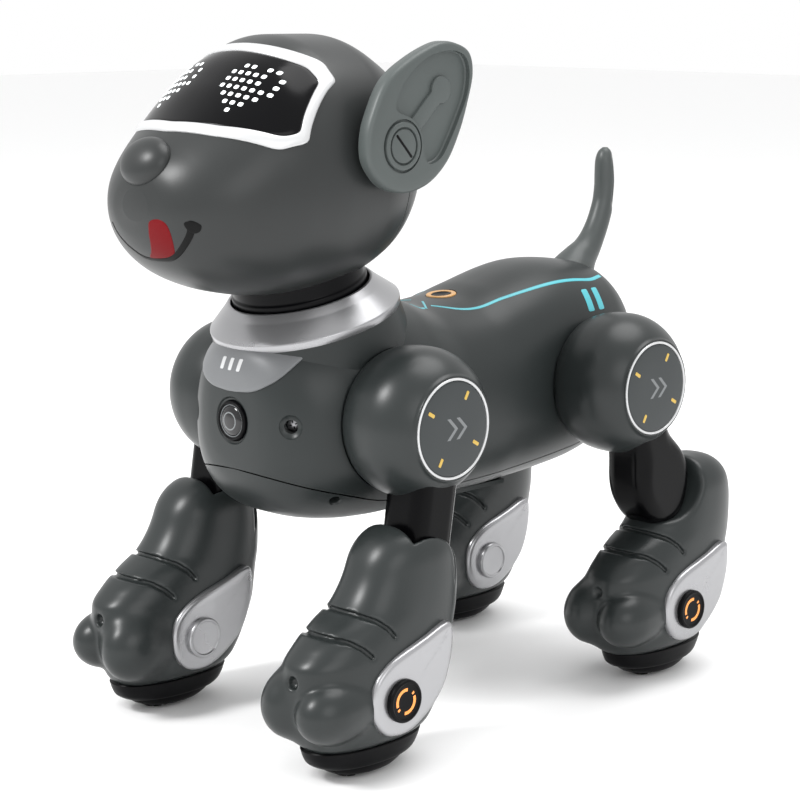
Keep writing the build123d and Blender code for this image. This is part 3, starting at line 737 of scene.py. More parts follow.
def ear_roundel():
    """Round boss of the ear's shaft: an outer ring, a groove and a flat cap; the cap's slot is a separate
    black plate, painted shade.
    """
    boss = rounded_profile([
        (EAR_THICK - 3, ROUNDEL_RADIUS), (EAR_THICK + 0.5, ROUNDEL_RADIUS - 0.2),
        (EAR_THICK + 0.8, ROUNDEL_RADIUS - 0.9), (EAR_THICK + 0.8, 7.7), (EAR_THICK - 0.6, 7.6),
        (EAR_THICK - 0.6, 6.9), (EAR_THICK + 0.7, 6.8), (EAR_THICK + 0.8, 0.0),
    ], 0.35, 3)
    return turned(boss, EAR_SEAT, SIDEWAYS)


def painted_shade_slot(origin, axis, lean_deg, length, width, face, depth):
    """A slot across a round face, as a thin plate sunk into it, which the callers colour black: painted shade
    in place of a cut groove.
    """
    _, first, second = axis_frame(axis)
    lean = math.radians(lean_deg)
    way = math.cos(lean) * first + math.sin(lean) * second
    across = np.cross(np.asarray(axis, float), way)
    box = [(a * length / 2, b * width / 2) for a, b in ((-1, -1), (1, -1), (1, 1), (-1, 1))]
    outline = rounded_polygon(box, width * 0.45, per_corner=5, per_edge=6)
    profile = [(0, face - depth), (0, face + 0.02), (0.1, face + 0.05)]
    return solid_plate(outline, profile, flat_place(origin, way, across, axis))


for name, side in SIDES.items():
    body = name + "_ear"
    leaf = make_object(f"{name}_ear_leaf", flip(ear_plate(), side), "ear", body, "ear_grey", f"{name}_ear",
                       sharp=60)
    roundel_seat = cylinder(EAR_SEAT + EAR_THICK * SIDEWAYS, SIDEWAYS, -1.2, 2, ROUNDEL_RADIUS + 0.9, 96)
    cut(leaf, [flip(ear_recess(), side), flip(roundel_seat, side)])
    make_object(f"{name}_ear_bone", flip(ear_bone(), side), "ear", body, "ear_grey", sharp=50)
    make_object(f"{name}_ear_roundel", flip(ear_roundel(), side), "ear", body, "ear_grey",
                f"{name}_ear_hub", sharp=50)
    # The slot in the roundel's cap is a black plate: painted shade in place of a cut groove.
    ear_slot_shade = painted_shade_slot(EAR_SEAT, SIDEWAYS, SLOT_LEAN, SLOT_LENGTH, SLOT_WIDTH, EAR_THICK + 0.8, SLOT_DEPTH)
    make_object(f"{name}_ear_slot_shade", flip(ear_slot_shade, side), "black", body, "black_plastic")

# ---------------------------------------------------------------- trunk
hip_joint = {end: joint_place(f"{end}_left_hip_swing")[0] for end in ENDS}
HIP_Z = hip_joint["front"][2]
CUP_INNER_X, CUP_WIDEST_X, CUP_BULGE, CUP_RADIUS, CUP_FACE_X = 42.0, 58.0, 26.0, 32.0, 77.5
CUP_CLEARANCE = 0.7         # between a hip cup and its well in the trunk
# The seam between the upper moulding and the belly: y, z
SEAM_LINE = [(-101.5, 119), (-99, 117.5), (-75, 109.5), (-45, 102.5), (0, 101), (80, 106), (134, 128)]
SEAM_HALF_GAP = 0.28
TRUNK_COLUMNS = 150
BACK_RAYS, FLANK_RAYS = 260.0, 90.0        # rays onto the back and the flanks start this far out


def seam_angles(places, offset, upper):
    """Section angles between the two seams of each place, over the top or under the belly."""
    low, _, _, widest, square = station_curves(TRUNK, places)
    seam = station_curves(SEAM_LINE, places)[0] + offset
    share = np.clip((widest - seam) / (widest - low), 0.0, 1.0)
    angle = np.arcsin(share ** (square / 2))[:, None]
    step = np.linspace(0, 1, TRUNK_COLUMNS)
    if upper:
        return -angle + step * (math.pi + 2 * angle)
    return math.pi + angle + step * (math.pi - 2 * angle)


def trunk_half(upper):
    places = spaced(TRUNK[0][0], TRUNK[-1][0], 170)
    offset = SEAM_HALF_GAP if upper else -SEAM_HALF_GAP
    return capped(body_grid(TRUNK, places, seam_angles(places, offset, upper)))


trunk_surface = Surface(body_grid(TRUNK, spaced(TRUNK[0][0], TRUNK[-1][0], 200), ring_angles(200)))
chest_start = MIDDLE + (TRUNK[0][0] - FRONT_RAYS) * REARWARDS
on_chest = dropped_place(trunk_surface, chest_start, SIDEWAYS, UPWARDS, REARWARDS)
on_back = dropped_place(trunk_surface, MIDDLE + BACK_RAYS * UPWARDS, SIDEWAYS, REARWARDS, -UPWARDS)


def chest_normal(x, z):
    """The chest's surface point and its outward direction there."""
    here = on_chest([(x, z)], 0.0)[0]
    out = on_chest([(x, z)], 1.0)[0] - here
    return here, out


def surface_near(point):
    """The trunk's surface point nearest to a place, and its outward direction there."""
    hit, normal, _, _ = trunk_surface.tree.find_nearest(Vector(point))
    out = np.array(normal)
    return np.array(hit), out if out @ (np.array(hit) - [0, 0, HIP_Z]) > 0 else -out


def cup_radius(x):
    """Radius of a hip cup this far from the middle plane; it is fuller on its inner side."""
    ratio = abs(x - CUP_WIDEST_X) / CUP_BULGE
    power = 2.8 if x < CUP_WIDEST_X else 2.0
    return CUP_RADIUS * (1 - ratio**power) ** (1 / power)


COLLAR_RADIUS = 41.0
CHEST_SCREWS = [(-29.5, 139.6), (29.5, 139.6)]
LENS_PLACE = (0.0, 139.2)
LENS_RADIUS = 8.8
BUTTON_Y = 23.6
BUTTON_RING_RADIUS = 6.9
BELLY_SCREW = (36.0, -77.0, 107.0)
WELL_END_X = 95.0           # well cutters end outside the toy

# Wells that clear the four hip cups
wells = []
for end in ENDS:
    for side in SIDES.values():
        well = [(x - CUP_CLEARANCE * (x == CUP_INNER_X), cup_radius(x) + CUP_CLEARANCE)
                for x in np.linspace(CUP_INNER_X, CUP_WIDEST_X, 24)]
        well.append((WELL_END_X, CUP_RADIUS + CUP_CLEARANCE))
        wells.append(turned(well, (0, hip_joint[end][1], HIP_Z), (side, 0, 0), 128))
# Seats of the collar, the chest screws, the lens and the button
lens_place, lens_out = chest_normal(*LENS_PLACE)
button_place, button_out = surface_near((0, BUTTON_Y + ORIGIN_Y, 180))
screw_seat = [(-10, 2.9), (-1.6, 2.9), (-0.9, 4.6), (0.6, 5.6), (4, 5.6)]
lens_seat = [(-5, LENS_RADIUS), (-0.8, LENS_RADIUS), (-0.7, 9.6), (0.5, 10.6), (4, 10.6)]
seats = [cylinder(NECK_BASE, NECK_AXIS, -1.0, 40, COLLAR_RADIUS + 0.4, 160)]
seats += [turned(screw_seat, *chest_normal(*place), 48) for place in CHEST_SCREWS]
seats.append(turned(lens_seat, lens_place, lens_out))
seats.append(cylinder(button_place, button_out, -10, 6, BUTTON_RING_RADIUS + 0.3))
belly_holes = []
for side in SIDES.values():
    x, y, z = BELLY_SCREW
    here, out = surface_near((side * x, y + ORIGIN_Y, z))
    belly_holes.append(turned([(-8, 2.2), (-0.8, 2.2), (0.0, 2.8), (3, 2.8)], here, out, 40))

upper_trunk = make_object("trunk_upper_moulding", trunk_half(True), "body", "trunk", "body_grey",
                          "trunk_shell")
cut(upper_trunk, wells)
cut(upper_trunk, seats)
cut(upper_trunk, belly_holes)
belly = make_object("belly_moulding", trunk_half(False), "body", "trunk", "body_grey", "belly_shell")
cut(belly, wells)
cut(belly, belly_holes)
shoulder = [(-32, 20), (-32, 44.2), (-22, 43.4), (-12, 42.2), (-2.0, 40.6), (-2.0, 20)]
shoulders = make_object("collar_shoulder", turned(shoulder, NECK_BASE, NECK_AXIS, 160), "body", "trunk",
                        "body_grey")
cut(shoulders, wells)

# Collar: a tapered silver ring; the neck's sleeve turns inside it with the head
collar = rounded_profile([
    (-5.0, 31.0), (-5.0, 40.0), (-1.6, 41.0), (0.4, 41.2), (7.4, 34.0), (10.6, 31.2), (10.6, 30.2),
    (9.4, 29.7), (-5.0, 29.7), (-5.0, 31.0),
], 0.6)
make_object("collar_cone", turned(collar, NECK_BASE, NECK_AXIS, 160), "silver", "trunk", "silver_plastic",
            "collar_ring", sharp=25)
sleeve = rounded_profile([
    (-8, 0), (-8, 27.4), (9.0, 28.0), (9.6, 29.2), (12.6, 29.2), (13.4, 28.4), (40, 27.6), (40, 0),
], 0.5)
make_object("neck_sleeve", turned(sleeve, NECK_BASE, NECK_AXIS, 160), "neck", "head", "black_plastic",
            "neck_tube", sharp=40)

# Chest badge with a generic mark of three bars
badge_outline = rounded_polygon(mirror_outline([
    (0, 151.5), (14, 152.8), (24, 158.5), (28.5, 167), (29, 176), (0, 176),
]), 6.0, per_corner=8)
badge = plate(badge_outline, [(0, -0.4), (0, 0.5), (0.25, 0.75), (0.8, 0.9)], on_chest, rings=10)
make_object("chest_shield", badge, "badge", "trunk", "badge_grey", "chest_badge")
bars = []
for x in (-5.0, 0.0, 5.0):
    bar = rounded_polygon([(x - 1.7, 160.5), (x + 0.3, 160.5), (x + 1.7, 165.5), (x - 0.3, 165.5)], 0.6, 4, 3)
    bars.append(plate(bar, [(0, 0.85), (0, 1.02), (0.15, 1.05)], on_chest))
make_object("chest_mark", join_parts(bars), "pale", "trunk", "pale_silver")

# Chest lens: bezel, thin bright ring, domed smoked glass with a ring in it
bezel = rounded_profile([
    (-4, LENS_RADIUS - 0.3), (0.3, LENS_RADIUS - 0.3), (1.0, LENS_RADIUS - 0.9), (0.9, LENS_RADIUS - 1.6),
    (0.0, LENS_RADIUS - 2.0), (-4, LENS_RADIUS - 2.0), (-4, LENS_RADIUS - 0.3),
], 0.3, 3)
bright_ring = rounded_profile([
    (-1, 6.95), (0.35, 6.95), (0.5, 6.75), (0.35, 6.55), (-1, 6.55), (-1, 6.95),
], 0.12, 3)
dome = [(-3.0, 0.0), (-3.0, 6.5)]
dome += [(1.6 * math.cos(a), 6.5 * math.sin(a)) for a in np.linspace(math.pi / 2, 0, 12)]
pupil = rounded_profile([(0.9, 3.9), (1.4, 3.9), (1.5, 3.6), (1.4, 3.3), (0.9, 3.3), (0.9, 3.9)], 0.1, 3)
for name, profile, material, slot, replaced, sharp in (
    ("chest_lens_bezel", bezel, "black", "black_plastic", "lens_bezel", 50),
    ("chest_lens_ring", bright_ring, "mark", "silver_plastic", None, None),
    ("chest_lens_glass", dome, "lens", "lens_clear", "chest_lens", None),
    ("chest_lens_pupil", pupil, "mark", "silver_plastic", None, None),
):
    make_object(name, turned(profile, lens_place, lens_out), material, "trunk", slot, replaced, sharp=sharp)

# Countersunk chest screws; the cross slot in each head is a black plate, painted shade in place of the cross
# recess.
SCREW_DEPTH, SCREW_RADIUS = 7.5, 2.7
screw_head = rounded_profile([
    (-SCREW_DEPTH - 2, SCREW_RADIUS * 0.5), (-SCREW_DEPTH - 1, SCREW_RADIUS), (-SCREW_DEPTH, SCREW_RADIUS),
    (-SCREW_DEPTH + 0.5, 0),
], 0.3, 3)
for index, place in enumerate(CHEST_SCREWS):
    here, out = chest_normal(*place)
    out = out / np.linalg.norm(out)
    name = f"chest_screw_{index}"
    make_object(name, turned(screw_head, here, out, 40), "steel", "trunk", "steel", sharp=50)
    # Black cross plates on the screw head: painted shade of the cross recess.
    cross = [painted_shade_slot(here, out, lean, SCREW_RADIUS * 1.3, 0.55, 0.32 - SCREW_DEPTH, 0.4)
             for lean in (20, 110)]
    make_object(name + "_slot", join_parts(cross), "black", "trunk", "black_plastic")

# Button on the back: a black cap inside an amber ring, flush with the sloping back
cap = rounded_profile([(-5, 0), (-5, 3.0), (-2, 4.4), (0.3, 4.4), (0.45, 4.0), (0.2, 3.4)], 0.2, 3)
cap += [(0.0, 2.0), (-0.1, 0.0)]
make_object("back_button_cap", turned(cap, button_place, button_out), "black", "button", "button_black",
            "back_button", sharp=50)
outer = BUTTON_RING_RADIUS
amber = rounded_profile([
    (-2, outer), (0.2, outer), (0.55, outer - 0.5), (0.45, 4.9), (0.1, 4.6), (-2, 4.6), (-2, outer),
], 0.2, 3)
make_object("back_button_ring", turned(amber, button_place, button_out), "amber", "button", "lens_clear")

# Teal pinstripe down each side of the back, with a lead from the collar and a tick: (x, y)
STRIPE = [
    (11.2, 5.5), (14.5, 9), (18.5, 14.1), (20.8, 20), (21.9, 28.6), (23.1, 42.6), (24.6, 57.1), (25.6, 69.7),
    (26.2, 84.5), (25.7, 97.4), (22, 109),
]
STRIPE_LEAD = [(14, -11), (15.5, -5.5), (13.4, -1)]
STRIPE_TICK = [(3.5, 8), (14.5, -0.6)]
SLASH_Y, SLASH_LOW, SLASH_HIGH = (84.0, 92.0), 169.5, 179.0
for name, side in SIDES.items():
    lines = [
        ribbon(path_through(path, steps) * np.array([side, 1.0]), half_width, on_back, rise)
        for path, steps, half_width, rise in (
            (STRIPE, 120, 0.75, 0.1), (STRIPE_LEAD, 20, 0.75, 0.1), (STRIPE_TICK, 12, 0.55, 0.12),
        )
    ]
    make_object(f"{name}_back_stripe", join_parts(lines), "teal", "trunk", "pale_silver")

# Two slashes on each flank: (y, z)
for name, side in SIDES.items():
    start = MIDDLE + side * FLANK_RAYS * SIDEWAYS
    on_flank = dropped_place(trunk_surface, start, REARWARDS, UPWARDS, -side * SIDEWAYS)
    slashes = []
    for y in SLASH_Y:
        bar = [(y, SLASH_LOW), (y + 4.2, SLASH_LOW), (y + 5.0, SLASH_HIGH), (y + 0.8, SLASH_HIGH)]
        outline = rounded_polygon(bar, 0.9, 5, 5)
        slashes.append(plate(outline, [(0, -0.1), (0, 0.1), (0.15, 0.14)], on_flank, rings=3))
    make_object(f"{name}_flank_slashes", join_parts(slashes), "teal", "trunk", "pale_silver")

# ---------------------------------------------------------------- tail
# Tail stations: y, z, lean of the section's normal, half width, half depth
TAIL = [
    (112, 178, 35, 13, 13), (116.5, 184.5, 40, 10, 10), (120.5, 188.7, 42, 7.8, 8.3),
    (125.4, 193, 38, 6.4, 6.9), (130.2, 199.3, 30, 5.6, 6.0), (134.6, 207.8, 21, 5.2, 5.6),
    (137.4, 216.4, 10, 5.1, 5.5),
    (138.2, 223.8, 0, 5.1, 5.5), (137.9, 230.2, -2, 4.9, 5.2), (137.5, 235.7, -2, 4.2, 4.4),
    (137.5, 238.8, 0, 2.9, 3.0), (137.7, 240.4, 0, 1.2, 1.2),
]


TAIL_ROWS, TAIL_COLUMNS = 110, 72
HOLLOW_SHARE, HOLLOW_LENGTH = 0.78, 0.15    # the hollow near the tip, as shares of the tail's length
HOLLOW_ANGLE, HOLLOW_WIDTH = 0.6, 0.5       # where it lies around the tail, in radians
HOLLOW_DEPTH = 0.62                         # as a share of the tail's radius


def tail_horn():
    table = np.array(TAIL, float)
    length = np.concatenate([[0], np.cumsum(np.linalg.norm(np.diff(table[:, :2], axis=0), axis=1))])
    along = np.linspace(0, length[-1], TAIL_ROWS)
    y, z, lean, half, depth = station_curves(np.column_stack([length, table]), along)
    angle = ring_angles(TAIL_COLUMNS)
    hollow_along = np.exp(-((along / length[-1] - HOLLOW_SHARE) / HOLLOW_LENGTH) ** 4)
    hollow_around = np.exp(-((angle - HOLLOW_ANGLE) / HOLLOW_WIDTH) ** 4)
    grid = np.zeros((TAIL_ROWS, TAIL_COLUMNS, 3))
    for i in range(TAIL_ROWS):
        tilt = math.radians(lean[i])
        back = np.array([0, math.cos(tilt), -math.sin(tilt)])
        reach = 1 - HOLLOW_DEPTH * hollow_along[i] * hollow_around
        grid[i] = MIDDLE + y[i] * REARWARDS + z[i] * UPWARDS
        grid[i] += (half[i] * np.cos(angle) * reach)[:, None] * SIDEWAYS
        grid[i] += (depth[i] * np.sin(angle) * reach)[:, None] * back
    return capped(grid)


make_object("tail_horn", tail_horn(), "tail", "tail", "ear_grey", "tail")

# ---------------------------------------------------------------- hips
CUP = [(24.0, 0), (24.0, 5.0), (CUP_INNER_X, 5.0), (CUP_INNER_X, 22.0)]
CUP += [(x, cup_radius(x)) for x in np.linspace(CUP_INNER_X, CUP_FACE_X - 0.5, 34)]
CUP += [(CUP_FACE_X - 0.05, 21.9), (CUP_FACE_X, 21.4), (CUP_FACE_X - 1.0, 21.2), (CUP_FACE_X - 1.0, 0)]
DISC = [(-0.9, 0), (-0.9, 19.9), (-0.2, 19.9), (0.05, 19.5), (0.15, 18.8), (0.22, 9), (0.25, 0)]
DISC_RING = rounded_profile([
    (-1.0, 20.0), (0.1, 20.0), (0.42, 20.35), (0.42, 20.85), (0.1, 21.15), (-1.0, 21.15), (-1.0, 20.0),
], 0.2, 4)
DASH_CLOCK = (1, 4, 7, 10)
DASH_START, DASH_END, DASH_HALF = 13.2, 17.0, 0.75
CHEVRON_WIDE, CHEVRON_HALF, CHEVRON_THICK = 4.5, 4.5, 1.9


def disc_dashes(place):
    """Short amber dashes near the rim of a hip disc."""
    dashes = []
    for clock in DASH_CLOCK:
        angle = math.radians(90 - 30 * clock)
        way = np.array([math.cos(angle), math.sin(angle)])
        side = np.array([-way[1], way[0]]) * DASH_HALF
        start, end = way * DASH_START, way * DASH_END
        bar = rounded_polygon([start - side, end - side, end + side, start + side], 0.5, 4, 3)
        dashes.append(plate(bar, [(0, -0.1), (0, 0.05), (0.1, 0.08)], place))
    return join_parts(dashes)


def disc_chevrons(place):
    """Two plain chevrons in the middle of a hip disc."""
    chevrons = []
    for x in (-4.0, 1.5):
        left = [(x, -CHEVRON_HALF), (x + CHEVRON_WIDE, 0), (x, CHEVRON_HALF)]
        outline = left + [(a + CHEVRON_THICK, b) for a, b in reversed(left)]
        vertices = np.concatenate([place(outline, 0.06), place(outline, -0.1)]).tolist()
        faces = [(0, 5, 4, 1), (1, 4, 3, 2)] + [(k, (k + 1) % 6, 6 + (k + 1) % 6, 6 + k) for k in range(6)]
        chevrons.append((vertices, faces))
    return join_parts(chevrons)


for end in ENDS:
    for side_name, side in SIDES.items():
        label = f"{end}_{side_name}"
        body = label + "_hip"
        axis = side * SIDEWAYS
        middle = np.array([0, hip_joint[end][1], HIP_Z])
        face = middle + CUP_FACE_X * axis
        on_disc = flat_place(face, REARWARDS, UPWARDS, axis, 0.2)
        make_object(f"{label}_cup", turned(CUP, middle, axis, 160), "limb", body, "limb_grey",
                    f"{label}_hip_cup", sharp=60)
        make_object(f"{label}_disc", turned(DISC, face, axis, 128), "disc", body, "limb_grey",
                    f"{label}_hip_disc", sharp=60)
        make_object(f"{label}_disc_ring", turned(DISC_RING, face, axis, 160), "pale", body, "pale_silver",
                    sharp=60)
        make_object(f"{label}_disc_dashes", disc_dashes(on_disc), "yellow", body, "pale_silver")
        make_object(f"{label}_disc_chevrons", disc_chevrons(on_disc), "mark", body, "pale_silver", flat=True)

# ---------------------------------------------------------------- paws
# Paw stations from the sole up: z, front and back from the wheel axle, half width, squareness
PAW = [
    (13, -22, 34, 14.5, 2.3), (20, -25, 41, 18, 2.4), (32, -30, 48, 19.5, 2.4), (44, -31, 53, 19.6, 2.4),
    (50, -30.5, 54, 19.5, 2.4), (57, -24.5, 55, 19.2, 2.4), (63.5, -15.5, 56, 18.9, 2.4),
    (70, -5, 56.5, 18.6, 2.3), (80, 3, 56, 18.2, 2.3), (90, 7.5, 54, 17.8, 2.3), (101, 12, 51, 17.0, 2.2),
]
REACH = {"front": 0.0, "rear": -2.0}       # the rear feet stand a little further forward on their wheels
BULB = {"front": None, "rear": (3.0, 94.0, 18.0)}  # knee bulb: distance behind the axle, height, radius
PAW_TOP, PAW_BOTTOM = 101.0, 13.0
LEG_X = 62.5
KNEE_Z = 84.0
THIGH_TOP = HIP_Z - 8.0                    # end of the thigh bar's middle line, inside the hip cup
THIGH_DEPTH, THIGH_HALF, THIGH_EDGE = 12.0, 12.0, 7.0
BULB_GAP, BULB_FLARE = 1.4, 0.18           # the pocket around the bulb widens upwards by the flare
KNEE_FAN = math.radians(12)                # the front pocket opens this far to each side of the thigh
# Toes: side, height, half height, length to the rear, blend into the paw
TOES = [(1, 32.5, 13.0, 25.0, 2.0), (-1, 32.8, 15.5, 17.0, 5.0)]
TOE_X, TOE_HALF, TOE_FRONT = 10.2, 12.2, 16.5
# Two grooves over the ankle, as (distance behind the axle, height)
ANKLE_GROOVES = [
    [(-16, 73), (-5, 70), (2, 66.5), (6, 63), (8.5, 60)],
    [(-32, 65), (-20, 62.5), (-12, 60.5), (-7, 57), (-3.5, 53.5)],
]
VOXEL = 0.65


def soft_max(a, b, reach):
    blend = np.maximum(reach - np.abs(a - b), 0) / reach
    return np.maximum(a, b) + blend * blend * reach / 4


def soft_min(a, b, reach):
    return -soft_max(-a, -b, reach)


def as_distance(values):
    """Scales a smooth field so that it is about a distance in millimetres near zero."""
    slope = np.sqrt(sum(g * g for g in np.gradient(values, VOXEL)))
    return values / np.maximum(slope, 1e-4)


def distance_to_path(across, up, path):
    """Distance in the (v, z) plane to a polyline."""
    best = np.full(across.shape, 1e9)
    for (x0, y0), (x1, y1) in zip(path[:-1], path[1:]):
        dx, dy = x1 - x0, y1 - y0
        t = np.clip(((across - x0) * dx + (up - y0) * dy) / (dx * dx + dy * dy), 0, 1)
        best = np.minimum(best, np.hypot(across - x0 - t * dx, up - y0 - t * dy))
    return best


def field_axes(u_reach, v_low, v_high, z_low, z_high):
    return (np.arange(-u_reach, u_reach + VOXEL, VOXEL), np.arange(v_low, v_high, VOXEL),
            np.arange(z_low, z_high, VOXEL))


def knee_pocket(end, knee, hip, U, V, Z):
    """Field of the hollow in the paw's top that leaves the thigh room to bend."""
    if BULB[end]:
        bulb_v, bulb_z, bulb_radius = BULB[end]
        above = np.maximum(Z - bulb_z, 0)
        below = np.minimum(Z - bulb_z, 0)
        return np.hypot(V - bulb_v, below) - bulb_radius - BULB_GAP - BULB_FLARE * above
    above = np.maximum(Z - KNEE_Z, 0)
    lean = (hip - knee) / (THIGH_TOP - KNEE_Z)
    fan = np.abs(V - knee - lean * above) - (THIGH_DEPTH + 1.0) - above * math.tan(KNEE_FAN)
    round_end = np.hypot(V - knee, Z - KNEE_Z) - (THIGH_DEPTH + 0.8)
    return np.maximum(np.where(Z > KNEE_Z, fan, round_end), np.abs(U) - THIGH_HALF - 1)


def paw_field(end, knee, hip):
    """Field of a paw moulding about its axle; u runs outwards, v to the rear."""
    u, v, z = field_axes(26, -50, 62, 9, 106)
    front, back, half, square = station_curves(PAW, np.clip(z, PAW[0][0], PAW[-1][0]))
    U, V, Z = np.meshgrid(u, v, z, indexing="ij", sparse=True)
    middle, depth = (front + back) / 2 + REACH[end], (back - front) / 2
    section = (np.abs(U / half) ** square + np.abs((V - middle) / depth) ** square) ** (1 / square) - 1
    body = as_distance(section)
    body = soft_max(body, Z - PAW_TOP, 16.0)
    body = soft_max(body, PAW_BOTTOM - Z, 5.0)
    toe_v = -19.0 + 1.7 * REACH[end]
    for side, height, tall, rear, blend in TOES:
        lengthwise = (V - toe_v) / np.where(V < toe_v, TOE_FRONT, rear)
        across, up = (U - side * TOE_X) / TOE_HALF, (Z - height) / tall
        body = soft_min(body, as_distance(np.sqrt(across**2 + lengthwise**2 + up**2) - 1), blend)
    dimple = np.sqrt(U**2 + (V - toe_v + 11.0) ** 2 + (Z - 45.0) ** 2) - 2.6
    body = soft_max(body, -dimple, 1.2)
    for path in ANKLE_GROOVES:
        groove = distance_to_path(V - REACH[end] + 0 * Z, Z + 0 * V, path) - 0.95
        body = soft_max(body, -np.maximum(groove, -(body + 1.8)), 0.35)
    body = soft_max(body, -knee_pocket(end, knee, hip, U, V, Z), 2.5)
    return body, (u[0], v[0], z[0])


def thigh_field(end, knee, hip):
    """Field of a thigh: a bar from hip to knee with soft edges, and the rear one's knee bulb."""
    u, v, z = field_axes(16, -30, 62, 66, 146)
    U, V, Z = np.meshgrid(u, v, z, indexing="ij", sparse=True)
    bar = [(hip, THIGH_TOP), (knee, KNEE_Z)]
    side_view = distance_to_path(V + 0 * Z, Z + 0 * V, bar) - THIGH_DEPTH
    if BULB[end]:
        bulb_v, bulb_z, bulb_radius = BULB[end]
        side_view = soft_min(side_view, np.hypot(V - bulb_v, Z - bulb_z) - bulb_radius, 9.0)
    edge = THIGH_EDGE
    across = np.maximum(side_view + edge, 0) ** 2 + np.maximum(np.abs(U) - THIGH_HALF + edge, 0) ** 2
    inner = np.minimum(np.maximum(side_view, np.abs(U) - THIGH_HALF) + edge, 0)
    return np.sqrt(across) + inner - edge, (u[0], v[0], z[0])


def field_mesh(field, corner):
    """Vertices and faces of a field's zero surface, in millimetres."""
    grid = openvdb.FloatGrid(4 * VOXEL)
    grid.copyFromArray(np.clip(field, -4 * VOXEL, 4 * VOXEL).astype(np.float64))
    points, quads = grid.convertToQuads(isovalue=0.0)
    return points * VOXEL + np.array(corner), quads


def smoothed(points, quads, rounds=2):
    """Laplacian smoothing, which takes the voxel steps out of the surface."""
    edges = np.concatenate([quads[:, [k, (k + 1) % 4]] for k in range(4)])
    for _ in range(rounds):
        total = np.zeros_like(points)
        count = np.zeros(len(points))
        for a, b in ((0, 1), (1, 0)):
            np.add.at(total, edges[:, a], points[edges[:, b]])
            np.add.at(count, edges[:, a], 1)
        points = points + 0.5 * (total / count[:, None] - points)
    return points


# Outline of a fairing: distance behind the axle, and height
LEAF = [
    (39.5, 59.5), (40.4, 52), (38.6, 42.5), (34, 33), (25, 25), (15, 20), (7, 19), (0.5, 21), (-4.6, 28),
    (-5.8, 36), (-3.4, 43.6), (2.6, 49.2), (11, 53), (24.6, 57), (34.5, 60),
]
LEAF_MIDDLE = 16.0
LEAF_CROWN, LEAF_POWER = 0.021, 1.3        # how the leaf falls away from its middle
HUB_FROM_AXLE, HUB_Z = 9.6, 33.6
FAIRING_FACE = 22.3
HUB_CAP = rounded_profile([
    (-0.8, 0), (-0.8, 9.0), (1.2, 9.0), (1.8, 8.5), (1.9, 7.7), (1.35, 7.3), (1.25, 3.0), (1.2, 0),
], 0.3, 3)
# Lit arcs and short ticks of a broken ring: start and sweep in degrees
HUB_ARCS = [(-100, 118), (30, 12), (80, 118), (210, 12)]
ARC_RADIUS, ARC_HALF, ARC_STEPS = 4.9, 0.75, 24


def fairing(middle, way):
    """Silver leaf on one side of the paw, crowned, with a bevelled edge."""
    def place(points, height):
        return np.array([
            (middle[0] + way * (FAIRING_FACE + height - LEAF_CROWN * abs(p[0] - LEAF_MIDDLE) ** LEAF_POWER),
             middle[1] + p[0], p[1])
            for p in points
        ])

    profile = [(0.0, -7.0), (0.0, -1.6), (0.35, -0.75), (1.1, -0.25), (2.2, -0.05), (4.5, 0.0)]
    return plate(closed_spline(LEAF, 160), profile, place, rings=8)


def hub_seat(middle, way):
    return middle + np.array([way * FAIRING_FACE, HUB_FROM_AXLE, HUB_Z])


def hub_cap(middle, way):
    return turned(HUB_CAP, hub_seat(middle, way), (way, 0, 0))


def hub_arcs(middle, way):
    place = flat_place(hub_seat(middle, way), REARWARDS, UPWARDS, way * SIDEWAYS, 1.25)
    parts = []
    for start, sweep in HUB_ARCS:
        angle = np.radians(np.linspace(start, start + sweep, ARC_STEPS))
        path = ARC_RADIUS * np.stack([np.cos(angle), np.sin(angle)], axis=1)
        parts.append(ribbon(path, ARC_HALF, place, 0.12))
    return join_parts(parts)


# Sole stations from the ground up, in the same form as the paw's, with one step
SOLE = [
    (1.4, -4, 16, 8, 2.2), (2.6, -10, 22, 10.5, 2.2), (5.6, -14.5, 28, 12.2, 2.2),
    (6.2, -15, 28.6, 12.4, 2.2), (6.6, -18, 31, 13.4, 2.3), (10, -21.5, 35, 14.4, 2.3),
    (14, -23, 37, 15, 2.3),
]


def sole_plate(middle):
    heights = np.linspace(SOLE[0][0], SOLE[-1][0], 45)
    front, back, half, square = station_curves(SOLE, heights)
    angle = ring_angles(120)
    grid = np.zeros((len(heights), len(angle), 3))
    for i, height in enumerate(heights):
        centre, depth = (front[i] + back[i]) / 2, (back[i] - front[i]) / 2
        grid[i, :, 0] = middle[0] + half[i] * signed_power(np.cos(angle), 2 / square[i])
        grid[i, :, 1] = middle[1] + centre + depth * signed_power(np.sin(angle), 2 / square[i])
        grid[i, :, 2] = height
    return capped(grid)


WHEEL_RADIUS, WHEEL_HALF, TYRE_COLUMNS = 20.0, 6.0, 192
TREADS, TREAD_DEPTH, TREAD_INNER = 24, 0.9, 17.5
HALF_TYRE = [
    (-5.9, 0), (-4.4, 2.5), (-4.4, 12.5), (-5.4, 13.6), (-WHEEL_HALF, 15), (-WHEEL_HALF, 18.2), (-5.0, 19.6),
    (-3.5, WHEEL_RADIUS),
]


def tyre(middle):
    """Wheel with a hub and a treaded tyre: crosswise grooves all round."""
    profile = HALF_TYRE + [(-along, radius) for along, radius in reversed(HALF_TYRE)]
    vertices, faces = turned(profile, middle + WHEEL_RADIUS * UPWARDS, SIDEWAYS, TYRE_COLUMNS)
    out = []
    for v in vertices:
        radial = np.array([0, v[1] - middle[1], v[2] - WHEEL_RADIUS])
        radius = np.linalg.norm(radial)
        if radius > TREAD_INNER:
            turn = math.atan2(radial[2], radial[1])
            groove = 0.5 + 0.5 * math.tanh(6 * math.cos(TREADS * turn) - 3.5)
            radial *= 1 - (TREAD_DEPTH / radius) * groove
        out.append((v[0], middle[1] + radial[1], WHEEL_RADIUS + radial[2]))
    return out, faces


def field_part(field, middle):
    """Vertices and faces of a field's smoothed surface, placed about middle."""
    points, quads = field_mesh(*field)
    return (smoothed(points, quads) + middle).tolist(), quads.tolist()


